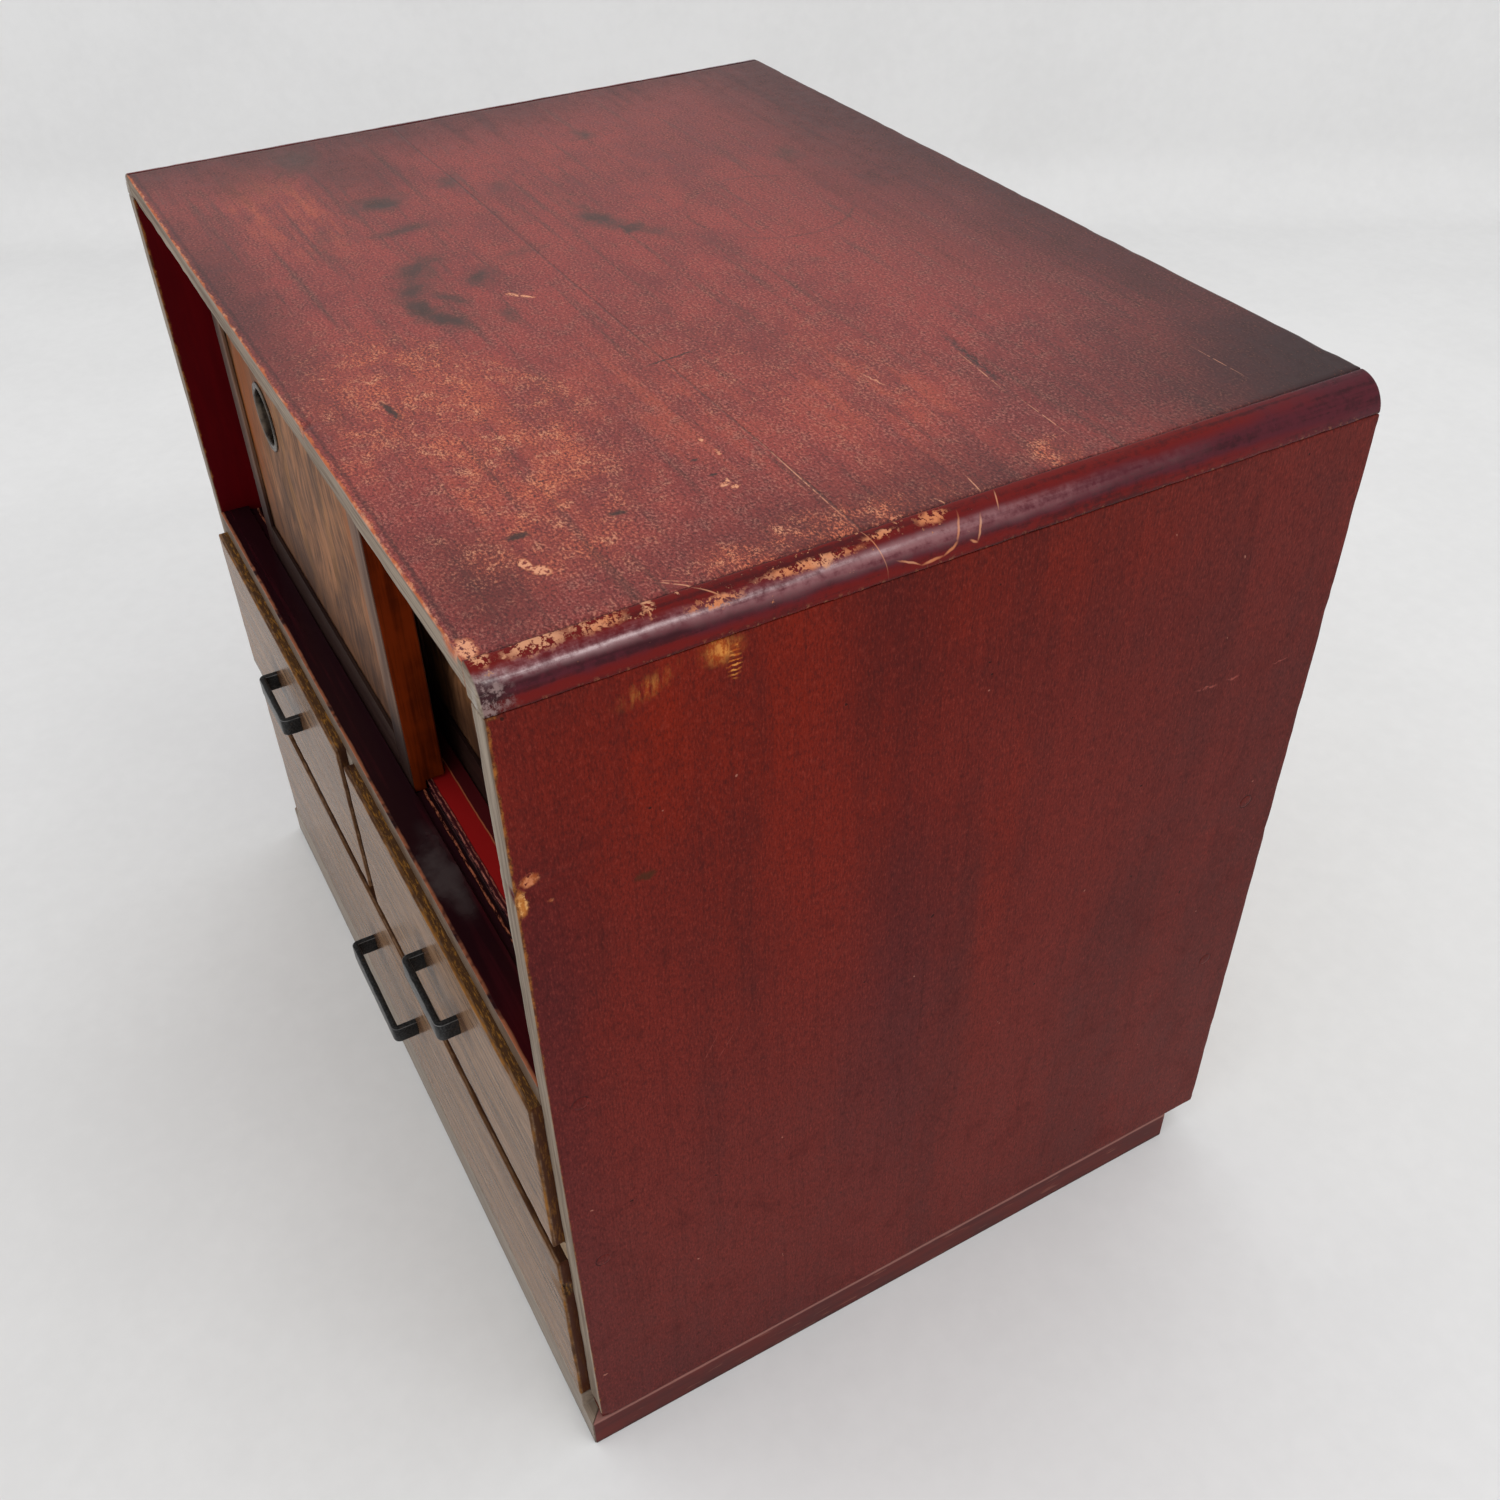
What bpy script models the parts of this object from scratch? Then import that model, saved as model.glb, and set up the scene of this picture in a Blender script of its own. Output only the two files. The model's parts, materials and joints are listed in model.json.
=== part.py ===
"""Tansu chest: a lacquered case with two sliding doors over two small drawers and one wide drawer.

Metres, +Z up. The front faces -Y, and the origin lies on the floor under the middle of the chest's
outer box. The front door stands partly open, everything else is closed.
"""
import math

import bmesh
import bpy
from mathutils import Vector

# Case
CASE_WIDTH = 0.600
CASE_DEPTH = 0.440
CASE_HEIGHT = 0.555
BOARD = 0.013
CORNER_LIP = 0.003
CORNER_STEPS = 10
BACK_BOARD = 0.009
BOTTOM_BOARD = 0.011
DUST_BOARD = 0.015
SHELF_BOARD = 0.014
DIVIDER = 0.013
LOWER_OPENING = 0.137
UPPER_OPENING = 0.115

# Base
BASE_HEIGHT = 0.023
BASE_RAIL = 0.018
BASE_SETBACK = 0.023

# Pegs that pin the shelf and the dust board to the side panels
PEG_RADIUS = 0.0042
PEG_INSET = 0.0148
PEG_GRIP = 0.020
PEG_SIDES = 16

# Drawers
FACE_PROUD = 0.006
DRAWER_FRONT = 0.018
DRAWER_SIDE = 0.009
DRAWER_BOTTOM = 0.007
DRAWER_PLAY = 0.0008
DRAWER_HEADROOM = 0.0015
DRAWER_SIDE_DROP = 0.005
DRAWER_BACK_GAP = 0.004

# Iron strap pulls
SMALL_PULL_WIDTH = 0.058
SMALL_PULL_REACH = 0.0125
WIDE_PULL_WIDTH = 0.089
WIDE_PULL_REACH = 0.016
STRAP_THICKNESS = 0.0042
STRAP_HEIGHT = 0.012
STRAP_BEND = 0.0016
TANG = 0.003
TANG_ROOT = 0.002

# Sliding doors
DOOR_SETBACK = 0.020
DOOR_THICKNESS = 0.019
DOOR_SPACING = 0.012
DOOR_OVERLAP = 0.014
DOOR_SIDE_GAP = 0.0005
FRONT_DOOR_SLID = 0.057
STILE_WIDTH = 0.021
RAIL_HEIGHT = 0.022
TONGUE = 0.0075
GROOVE_PLAY = 0.0005
SILL_GROOVE = 0.004
DOOR_SHOULDER = 0.002
HEAD_RAIL = 0.015
HEAD_GROOVE = 0.011
HEAD_ENTRY = 0.0055
HEAD_MARGIN = 0.004
PANEL = 0.007
PANEL_RECESS = 0.0025
PANEL_HOUSING = 0.004
TENON_SHOULDER = 0.002

# Round finger pulls in the door panels
CUP_INSET = 0.092
CUP_HEIGHT_SHARE = 0.647
CUP_FLANGE_RADIUS = 0.021
CUP_FLANGE = 0.0012
CUP_RADIUS = 0.0178
CUP_WALL = 0.0012
CUP_DEPTH = 0.010
CUP_SIDES = 36

# Fits
SEAT = 0.0003
ARRIS = 0.0008
CUTTER_OVERRUN = 0.002

# Places worked out from the sizes above
HALF_WIDTH = CASE_WIDTH / 2
INNER_X = HALF_WIDTH - BOARD
OUTER_DEPTH = CASE_DEPTH + FACE_PROUD + max(SMALL_PULL_REACH, WIDE_PULL_REACH)
BACK_Y = OUTER_DEPTH / 2
FRONT_Y = BACK_Y - CASE_DEPTH
FACE_Y = FRONT_Y - FACE_PROUD
BACK_BOARD_Y = BACK_Y - BACK_BOARD
CORNER_LEG = BOARD + CORNER_LIP
TOP_UNDERSIDE = CASE_HEIGHT - BOARD
BOTTOM_Z = BASE_HEIGHT + SEAT
LOWER_FLOOR = BOTTOM_Z + BOTTOM_BOARD
LOWER_CEILING = LOWER_FLOOR + LOWER_OPENING
UPPER_FLOOR = LOWER_CEILING + DUST_BOARD
UPPER_CEILING = UPPER_FLOOR + UPPER_OPENING
SHELF_TOP = UPPER_CEILING + SHELF_BOARD
HEAD_Z = TOP_UNDERSIDE - HEAD_RAIL
DOOR_WIDTH = INNER_X - DOOR_SIDE_GAP + DOOR_OVERLAP / 2
FRONT_DOOR_Y = FRONT_Y + DOOR_SETBACK
REAR_DOOR_Y = FRONT_DOOR_Y + DOOR_THICKNESS + DOOR_SPACING

# Finishes: colour, roughness, metallic
RED_LACQUER = ((0.20, 0.05, 0.045), 0.35, 0.0)
DARK_LACQUER = ((0.10, 0.025, 0.03), 0.25, 0.0)
WORN_GREY_WOOD = ((0.33, 0.28, 0.23), 0.6, 0.0)
INNER_WOOD = ((0.36, 0.24, 0.14), 0.7, 0.0)
DOOR_WOOD = ((0.30, 0.20, 0.12), 0.45, 0.0)
BLACK_IRON = ((0.03, 0.03, 0.03), 0.5, 0.9)
DARK_BRASS = ((0.10, 0.09, 0.07), 0.4, 0.9)


def clear_scene():
    for item in list(bpy.data.objects):
        bpy.data.objects.remove(item, do_unlink=True)


def principled(name, finish):
    """Make the material of one piece from its finish."""
    colour, roughness, metallic = finish
    material = bpy.data.materials.new(name)
    material.use_nodes = True
    shader = material.node_tree.nodes["Principled BSDF"]
    shader.inputs["Base Color"].default_value = (*colour, 1.0)
    shader.inputs["Roughness"].default_value = roughness
    shader.inputs["Metallic"].default_value = metallic
    material.diffuse_color = (*colour, 1.0)
    return material


def slide_origin(name, place):
    """An empty on the path of one sliding body, the parent of that body's pieces."""
    empty = bpy.data.objects.new(name, None)
    empty.location = place
    empty.empty_display_size = 0.05
    bpy.context.scene.collection.objects.link(empty)
    return empty


def add_object(name, shape, place, finish=None, parent=None):
    """Put a bmesh into the scene at a world place. A shape without a finish is a hidden cutter."""
    mesh = bpy.data.meshes.new(name)
    bmesh.ops.recalc_face_normals(shape, faces=shape.faces)
    shape.to_mesh(mesh)
    shape.free()
    item = bpy.data.objects.new(name, mesh)
    item.location = Vector(place) - (parent.location if parent else Vector())
    item.parent = parent
    bpy.context.scene.collection.objects.link(item)
    if finish:
        mesh.materials.append(principled(name, finish))
    else:
        item.hide_render = True
        item.display_type = "WIRE"
    return item


def box(name, low, high, finish=None, parent=None, arris=ARRIS):
    """A board between two world corners, with its edges chamfered by the arris."""
    low = Vector(low)
    high = Vector(high)
    shape = bmesh.new()
    bmesh.ops.create_cube(shape, size=1.0)
    bmesh.ops.scale(shape, vec=high - low, verts=shape.verts)
    if finish and arris:
        edges = list(shape.edges)
        bmesh.ops.bevel(shape, geom=edges, offset=arris, segments=1, affect="EDGES", profile=0.5)
    return add_object(name, shape, (low + high) / 2, finish, parent)


def prism(name, outline, axis, start, end, finish=None, parent=None):
    """An outline in the plane across one axis, drawn out along that axis from start to end.

    The outline's two numbers are the other two world axes, in X, Y, Z order.
    """
    across = [index for index in range(3) if index != axis]
    middle = Vector((0.0, 0.0, 0.0))
    middle[axis] = (start + end) / 2
    for place, index in enumerate(across):
        values = [point[place] for point in outline]
        middle[index] = (min(values) + max(values)) / 2
    shape = bmesh.new()
    corners = []
    for point in outline:
        corner = Vector((0.0, 0.0, 0.0))
        corner[axis] = start
        corner[across[0]], corner[across[1]] = point
        corners.append(shape.verts.new(corner - middle))
    face = shape.faces.new(corners)
    sweep = Vector((0.0, 0.0, 0.0))
    sweep[axis] = end - start
    drawn = bmesh.ops.extrude_face_region(shape, geom=[face])
    moved = [item for item in drawn["geom"] if isinstance(item, bmesh.types.BMVert)]
    bmesh.ops.translate(shape, vec=sweep, verts=moved)
    return add_object(name, shape, middle, finish, parent)


def round_bar(name, axis, radius, centre, start, end, sides, finish=None, parent=None):
    """A straight round bar along one axis. The centre gives the other two world axes in order."""
    outline = []
    for step in range(sides):
        angle = math.tau * step / sides
        outline.append((centre[0] + radius * math.cos(angle), centre[1] + radius * math.sin(angle)))
    return prism(name, outline, axis, start, end, finish, parent)


def combine(target, tool, operation):
    modifier = target.modifiers.new(tool.name, "BOOLEAN")
    modifier.operation = operation
    modifier.solver = "EXACT"
    modifier.object = tool


def cut(target, cutter):
    combine(target, cutter, "DIFFERENCE")


def corner_piece(name, side):
    """A rounded top corner: its outer face is a quarter round, its inner face follows the boards."""
    centre_x = HALF_WIDTH - CORNER_LEG
    centre_z = CASE_HEIGHT - CORNER_LEG
    outline = []
    for step in range(CORNER_STEPS + 1):
        angle = math.pi / 2 * step / CORNER_STEPS
        reach = centre_x + CORNER_LEG * math.cos(angle)
        outline.append((side * reach, centre_z + CORNER_LEG * math.sin(angle)))
    outline.append((side * centre_x, TOP_UNDERSIDE))
    outline.append((side * INNER_X, TOP_UNDERSIDE))
    outline.append((side * INNER_X, centre_z))
    prism(name, outline, 1, FRONT_Y, BACK_Y, DARK_LACQUER)


def track_board(name, closed, mouth, front, back, groove, finish):
    """A board across the case with a groove for each door, cut into its face at the mouth height."""
    groove_floor = mouth + math.copysign(groove, closed - mouth)
    outline = [(front, closed), (front, mouth)]
    for door_y in (FRONT_DOOR_Y, REAR_DOOR_Y):
        near = door_y - GROOVE_PLAY
        far = door_y + TONGUE + GROOVE_PLAY
        outline += [(near, mouth), (near, groove_floor), (far, groove_floor), (far, mouth)]
    outline += [(back, mouth), (back, closed)]
    return prism(name, outline, 0, SEAT - INNER_X, INNER_X - SEAT, finish)


def build_case():
    """The fixed boards of the case, from the top down."""
    top_x = HALF_WIDTH - CORNER_LEG - SEAT
    box("top_board", (-top_x, FRONT_Y, TOP_UNDERSIDE), (top_x, BACK_Y, CASE_HEIGHT), RED_LACQUER)
    corner_piece("left_corner_piece", -1)
    corner_piece("right_corner_piece", 1)

    side_top = CASE_HEIGHT - CORNER_LEG - SEAT
    sides = []
    for name, near, far in (
        ("left_side_panel", -HALF_WIDTH, -INNER_X),
        ("right_side_panel", INNER_X, HALF_WIDTH),
    ):
        sides.append(box(name, (near, FRONT_Y, BOTTOM_Z), (far, BACK_Y, side_top), RED_LACQUER))

    board_x = INNER_X - SEAT
    inner_back = BACK_BOARD_Y - SEAT
    box(
        "back_panel",
        (-board_x, BACK_BOARD_Y, LOWER_FLOOR + SEAT),
        (board_x, BACK_Y, TOP_UNDERSIDE - SEAT),
        INNER_WOOD,
    )
    apron_back = FACE_Y + BASE_RAIL + SEAT
    box("bottom_board", (-board_x, apron_back, BOTTOM_Z), (board_x, BACK_Y, LOWER_FLOOR), INNER_WOOD)
    dust_board = box(
        "dust_board",
        (-board_x, FRONT_Y, LOWER_CEILING),
        (board_x, inner_back, UPPER_FLOOR),
        INNER_WOOD,
    )
    shelf = track_board(
        "door_shelf", UPPER_CEILING, SHELF_TOP, FRONT_Y, inner_back, SILL_GROOVE, DARK_LACQUER,
    )
    box(
        "drawer_divider",
        (-DIVIDER / 2, FRONT_Y, UPPER_FLOOR + SEAT),
        (DIVIDER / 2, inner_back, UPPER_CEILING - SEAT),
        WORN_GREY_WOOD,
    )
    head_front = FRONT_DOOR_Y - HEAD_MARGIN
    head_back = REAR_DOOR_Y + DOOR_THICKNESS + HEAD_MARGIN
    track_board(
        "door_head_rail", TOP_UNDERSIDE - SEAT, HEAD_Z, head_front, head_back, HEAD_GROOVE, DARK_LACQUER,
    )

    for board_name, board, middle in (
        ("shelf", shelf, (UPPER_CEILING + SHELF_TOP) / 2),
        ("dust_board", dust_board, (LOWER_CEILING + UPPER_FLOOR) / 2),
    ):
        for end_name, peg_y in (("front", FRONT_Y + PEG_INSET), ("back", inner_back - PEG_INSET)):
            for side_name, side, panel in (("left", -1, sides[0]), ("right", 1, sides[1])):
                name = f"{side_name}_{end_name}_{board_name}_peg"
                tip = side * (INNER_X - PEG_GRIP)
                round_bar(
                    name, 0, PEG_RADIUS, (peg_y, middle), tip, side * HALF_WIDTH, PEG_SIDES, RED_LACQUER,
                )
                hole = round_bar(
                    f"{name}_hole", 0, PEG_RADIUS + SEAT, (peg_y, middle),
                    tip - side * SEAT, side * (HALF_WIDTH + CUTTER_OVERRUN), PEG_SIDES,
                )
                cut(panel, hole)
                cut(board, hole)


def build_base():
    """Four low rails. The front rail is mitred to the side rails, the back rail lies between them.

    The front rail stands up between the side panels, in front of the bottom board's edge.
    """
    inner_x = HALF_WIDTH - BASE_RAIL
    front_inner = FACE_Y + BASE_RAIL
    back_end = BACK_Y - BASE_SETBACK
    mitre = SEAT / 2
    front_outline = [
        (mitre - HALF_WIDTH, FACE_Y), (HALF_WIDTH - mitre, FACE_Y),
        (inner_x - mitre, front_inner), (mitre - inner_x, front_inner),
    ]
    front_rail = prism("base_front_rail", front_outline, 2, 0.0, LOWER_FLOOR, WORN_GREY_WOOD)
    for name, side in (("base_left_rail", -1), ("base_right_rail", 1)):
        side_outline = [
            (side * HALF_WIDTH, FACE_Y + mitre), (side * HALF_WIDTH, back_end),
            (side * inner_x, back_end), (side * inner_x, front_inner + mitre),
        ]
        prism(name, side_outline, 2, 0.0, BASE_HEIGHT, RED_LACQUER)
        ends = (side * (INNER_X - SEAT), side * (HALF_WIDTH + CUTTER_OVERRUN))
        notch = box(
            f"{name}_notch",
            (min(ends), FACE_Y - CUTTER_OVERRUN, BASE_HEIGHT),
            (max(ends), front_inner + CUTTER_OVERRUN, LOWER_FLOOR + CUTTER_OVERRUN),
        )
        cut(front_rail, notch)
    box(
        "base_back_rail",
        (SEAT - inner_x, back_end - BASE_RAIL, 0.0),
        (inner_x - SEAT, back_end, BASE_HEIGHT),
        INNER_WOOD,
    )


def strap_pull(name, centre_x, centre_z, width, reach, front_piece, parent):
    """A bent iron strap with two tangs through the drawer front, which gets the holes for them."""
    end = FACE_Y - SEAT
    bar = FACE_Y - reach
    half = width / 2
    inner = half - STRAP_THICKNESS
    outline = [
        (-half, end), (-half, bar + STRAP_BEND), (STRAP_BEND - half, bar), (half - STRAP_BEND, bar),
        (half, bar + STRAP_BEND), (half, end), (inner, end), (inner, bar + STRAP_THICKNESS),
        (-inner, bar + STRAP_THICKNESS), (-inner, end),
    ]
    outline = [(centre_x + x, y) for x, y in outline]
    low = centre_z - STRAP_HEIGHT / 2
    pull = prism(name, outline, 2, low, low + STRAP_HEIGHT, BLACK_IRON, parent)
    for index, side in enumerate((-1, 1)):
        tang_x = centre_x + side * (half - STRAP_THICKNESS / 2)
        margin = TANG / 2
        tang = box(
            f"{name}_tang_{index}",
            (tang_x - margin, end - TANG_ROOT, centre_z - margin),
            (tang_x + margin, FACE_Y + DRAWER_FRONT, centre_z + margin),
            parent=parent,
        )
        combine(pull, tang, "UNION")
        margin += SEAT
        hole = box(
            f"{name}_hole_{index}",
            (tang_x - margin, FACE_Y - CUTTER_OVERRUN, centre_z - margin),
            (tang_x + margin, FACE_Y + DRAWER_FRONT + CUTTER_OVERRUN, centre_z + margin),
            parent=parent,
        )
        cut(front_piece, hole)


def drawer(name, left, right, floor, ceiling, pull_width, pull_reach):
    """One drawer in an opening: five boards behind a proud front, the bottom nailed up under the sides."""
    x0 = left + DRAWER_PLAY
    x1 = right - DRAWER_PLAY
    bottom = floor + SEAT
    top = ceiling - DRAWER_HEADROOM
    body = slide_origin(f"{name}_slide", ((x0 + x1) / 2, FACE_Y, (bottom + top) / 2))
    front_back = FACE_Y + DRAWER_FRONT
    front = box(f"{name}_front", (x0, FACE_Y, bottom), (x1, front_back, top), WORN_GREY_WOOD, body)
    near = front_back + SEAT
    far = BACK_BOARD_Y - DRAWER_BACK_GAP
    box(f"{name}_bottom", (x0, near, bottom), (x1, far, bottom + DRAWER_BOTTOM), INNER_WOOD, body)
    wall = bottom + DRAWER_BOTTOM + SEAT
    rim = top - DRAWER_SIDE_DROP
    box(f"{name}_left_side", (x0, near, wall), (x0 + DRAWER_SIDE, far, rim), INNER_WOOD, body)
    box(f"{name}_right_side", (x1 - DRAWER_SIDE, near, wall), (x1, far, rim), INNER_WOOD, body)
    back_x0 = x0 + DRAWER_SIDE + SEAT
    back_x1 = x1 - DRAWER_SIDE - SEAT
    box(f"{name}_back", (back_x0, far - DRAWER_SIDE, wall), (back_x1, far, rim), INNER_WOOD, body)
    strap_pull(f"{name}_pull", (x0 + x1) / 2, (bottom + top) / 2, pull_width, pull_reach, front, body)


def build_drawers():
    for name, left, right in (
        ("upper_left_drawer", -INNER_X, -DIVIDER / 2),
        ("upper_right_drawer", DIVIDER / 2, INNER_X),
    ):
        drawer(name, left, right, UPPER_FLOOR, UPPER_CEILING, SMALL_PULL_WIDTH, SMALL_PULL_REACH)
    drawer("lower_drawer", -INNER_X, INNER_X, LOWER_FLOOR, LOWER_CEILING, WIDE_PULL_WIDTH, WIDE_PULL_REACH)


def finger_pull(name, centre_x, centre_z, panel_y, panel, parent):
    """A turned metal cup with a thin flange on the panel's face. The panel gets its round hole."""
    inner = CUP_RADIUS - CUP_WALL
    profile = [
        (0.0, CUP_DEPTH - CUP_WALL), (inner, CUP_DEPTH - CUP_WALL), (inner, -CUP_FLANGE),
        (CUP_FLANGE_RADIUS - CUP_FLANGE / 2, -CUP_FLANGE), (CUP_FLANGE_RADIUS, -CUP_FLANGE / 2),
        (CUP_FLANGE_RADIUS, -SEAT), (CUP_RADIUS, -SEAT), (CUP_RADIUS, CUP_DEPTH), (0.0, CUP_DEPTH),
    ]
    shape = bmesh.new()
    points = [shape.verts.new((radius, depth, 0.0)) for radius, depth in profile]
    edges = [shape.edges.new(pair) for pair in zip(points, points[1:])]
    bmesh.ops.spin(
        shape, geom=points + edges, axis=(0.0, 1.0, 0.0), cent=(0.0, 0.0, 0.0),
        angle=math.tau, steps=CUP_SIDES, use_merge=True,
    )
    bmesh.ops.remove_doubles(shape, verts=shape.verts, dist=1e-6)
    cup = add_object(name, shape, (centre_x, panel_y, centre_z), DARK_BRASS, parent)
    cup.data.shade_smooth()
    cup.data.set_sharp_from_angle(angle=math.radians(35))
    hole = round_bar(
        f"{name}_hole", 1, CUP_RADIUS + SEAT, (centre_x, centre_z),
        panel_y - CUTTER_OVERRUN, panel_y + PANEL + CUTTER_OVERRUN, CUP_SIDES, parent=parent,
    )
    cut(panel, hole)


def door_stile(name, outer, inner, face, heights, parent):
    """One upright of a door: the panel groove on its inner edge, shoulders behind the tongues."""
    tongue_low, body_low, body_high, tongue_high = heights
    back = face + DOOR_THICKNESS
    slot_near = face + PANEL_RECESS - SEAT
    slot_far = face + PANEL_RECESS + PANEL + SEAT
    toward = 1 if inner > outer else -1
    slot_end = inner - toward * PANEL_HOUSING
    bevel = toward * ARRIS
    outline = [
        (outer + bevel, face), (inner, face), (inner, slot_near), (slot_end, slot_near),
        (slot_end, slot_far), (inner, slot_far), (inner, back), (outer + bevel, back),
        (outer, back - ARRIS), (outer, face + ARRIS),
    ]
    stile = prism(name, outline, 2, tongue_low, tongue_high, DOOR_WOOD, parent)
    low_x = min(outer, inner) - CUTTER_OVERRUN
    high_x = max(outer, inner) + CUTTER_OVERRUN
    behind = back + CUTTER_OVERRUN
    for end_name, start, stop in (
        ("foot", tongue_low - CUTTER_OVERRUN, body_low),
        ("head", body_high, tongue_high + CUTTER_OVERRUN),
    ):
        shoulder = box(
            f"{name}_{end_name}_cut",
            (low_x, face + TONGUE, start),
            (high_x, behind, stop),
            parent=parent,
        )
        cut(stile, shoulder)


def door_rail(name, left, right, face, tongue_edge, shoulder, inner_edge, parent):
    """One cross rail of a door: tongue on the outer edge, panel groove on the inner edge, stub tenons."""
    back = face + DOOR_THICKNESS
    slot_near = face + PANEL_RECESS - SEAT
    slot_far = face + PANEL_RECESS + PANEL + SEAT
    toward = 1 if inner_edge > tongue_edge else -1
    slot_floor = inner_edge - toward * PANEL_HOUSING
    outline = [
        (face, tongue_edge), (face + TONGUE, tongue_edge), (face + TONGUE, shoulder), (back, shoulder),
        (back, inner_edge), (slot_far, inner_edge), (slot_far, slot_floor), (slot_near, slot_floor),
        (slot_near, inner_edge), (face, inner_edge),
    ]
    rail = prism(name, outline, 0, left, right, DOOR_WOOD, parent)
    tenon_near = face + PANEL_RECESS
    tenon_far = tenon_near + PANEL
    tenon_edges = (shoulder + toward * TENON_SHOULDER, slot_floor - toward * TENON_SHOULDER)
    grip = PANEL_HOUSING - 2 * SEAT
    for end_name, start, stop in (
        ("left", left - grip, left + TENON_SHOULDER),
        ("right", right - TENON_SHOULDER, right + grip),
    ):
        tenon = box(
            f"{name}_{end_name}_tenon",
            (start, tenon_near, min(tenon_edges)),
            (stop, tenon_far, max(tenon_edges)),
            parent=parent,
        )
        combine(rail, tenon, "UNION")


def sliding_door(name, left, face, cup_x):
    """A framed door whose front tongue runs in the shelf's and the head rail's grooves."""
    right = left + DOOR_WIDTH
    tongue_low = SHELF_TOP - SILL_GROOVE + SEAT
    body_low = SHELF_TOP + DOOR_SHOULDER
    body_high = HEAD_Z - DOOR_SHOULDER
    tongue_high = HEAD_Z + HEAD_ENTRY
    heights = (tongue_low, body_low, body_high, tongue_high)
    body = slide_origin(f"{name}_slide", ((left + right) / 2, face, (body_low + body_high) / 2))

    inner_left = left + STILE_WIDTH
    inner_right = right - STILE_WIDTH
    door_stile(f"{name}_left_stile", left, inner_left, face, heights, body)
    door_stile(f"{name}_right_stile", right, inner_right, face, heights, body)
    rail_left = inner_left + SEAT
    rail_right = inner_right - SEAT
    sight_low = body_low + RAIL_HEIGHT
    sight_high = body_high - RAIL_HEIGHT
    door_rail(f"{name}_bottom_rail", rail_left, rail_right, face, tongue_low, body_low, sight_low, body)
    door_rail(f"{name}_top_rail", rail_left, rail_right, face, tongue_high, body_high, sight_high, body)

    housing = PANEL_HOUSING - SEAT
    panel_y = face + PANEL_RECESS
    panel = box(
        f"{name}_panel",
        (inner_left - housing, panel_y, sight_low - housing),
        (inner_right + housing, panel_y + PANEL, sight_high + housing),
        DOOR_WOOD, body, arris=0.0,
    )
    cup_z = SHELF_TOP + CUP_HEIGHT_SHARE * (HEAD_Z - SHELF_TOP)
    finger_pull(f"{name}_finger_pull", cup_x, cup_z, panel_y, panel, body)


def build_doors():
    front_left = DOOR_SIDE_GAP - INNER_X + FRONT_DOOR_SLID
    sliding_door("front_door", front_left, FRONT_DOOR_Y, front_left + CUP_INSET)
    rear_right = INNER_X - DOOR_SIDE_GAP
    sliding_door("rear_door", rear_right - DOOR_WIDTH, REAR_DOOR_Y, rear_right - CUP_INSET)


def build_chest():
    clear_scene()
    build_case()
    build_base()
    build_drawers()
    build_doors()


build_chest()
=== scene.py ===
# %% [markdown]
# A worn lacquered tansu chest, seen from its front right corner and from above. The joiner's solids come in
# first, and every board, pull and finger cup is then given the eased edges, dents and finish of the old piece.

import json
import math
from types import SimpleNamespace

import bpy
from mathutils import Matrix, Vector, noise

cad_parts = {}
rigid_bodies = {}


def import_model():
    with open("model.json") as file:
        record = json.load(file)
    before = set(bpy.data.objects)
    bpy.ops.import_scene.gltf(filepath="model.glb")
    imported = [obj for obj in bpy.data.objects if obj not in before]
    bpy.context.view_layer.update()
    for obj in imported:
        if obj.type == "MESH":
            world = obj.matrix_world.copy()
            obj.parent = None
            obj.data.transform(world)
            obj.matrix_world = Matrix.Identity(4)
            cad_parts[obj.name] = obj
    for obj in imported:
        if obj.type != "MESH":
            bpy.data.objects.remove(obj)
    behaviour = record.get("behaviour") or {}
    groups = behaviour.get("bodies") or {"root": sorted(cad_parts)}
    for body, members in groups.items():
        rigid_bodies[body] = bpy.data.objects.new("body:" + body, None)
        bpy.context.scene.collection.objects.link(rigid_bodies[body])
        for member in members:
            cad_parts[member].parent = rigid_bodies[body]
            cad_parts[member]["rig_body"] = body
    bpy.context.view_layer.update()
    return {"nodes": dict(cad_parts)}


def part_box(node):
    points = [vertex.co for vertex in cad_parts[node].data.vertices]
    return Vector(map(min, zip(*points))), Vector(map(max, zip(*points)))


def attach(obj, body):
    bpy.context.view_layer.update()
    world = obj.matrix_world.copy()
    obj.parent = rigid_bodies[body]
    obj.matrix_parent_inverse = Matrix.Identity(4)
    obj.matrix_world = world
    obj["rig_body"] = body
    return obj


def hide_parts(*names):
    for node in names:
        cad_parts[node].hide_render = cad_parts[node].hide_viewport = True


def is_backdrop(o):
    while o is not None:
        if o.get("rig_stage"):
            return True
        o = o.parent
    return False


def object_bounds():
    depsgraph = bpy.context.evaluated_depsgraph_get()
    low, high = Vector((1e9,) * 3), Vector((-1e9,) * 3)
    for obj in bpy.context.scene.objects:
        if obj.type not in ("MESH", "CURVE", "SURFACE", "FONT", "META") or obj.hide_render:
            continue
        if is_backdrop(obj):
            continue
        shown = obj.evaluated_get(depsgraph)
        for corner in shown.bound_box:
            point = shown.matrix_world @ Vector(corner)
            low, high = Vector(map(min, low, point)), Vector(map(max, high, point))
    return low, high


for leftover in list(bpy.data.objects):
    bpy.data.objects.remove(leftover)
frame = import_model()
nodes = frame["nodes"]
DRAWERS, DOORS = ("upper_left_drawer", "upper_right_drawer", "lower_drawer"), ("front_door", "rear_door")

# %% [markdown]
# The camera stands close to the front right corner and looks steeply down, which is why the uprights lean
# together so strongly. A turn about each axis could be keyed in by hand. Here the three directions of the
# camera are built from yaw, pitch and roll, so that each angle can be read and changed on its own.

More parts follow.
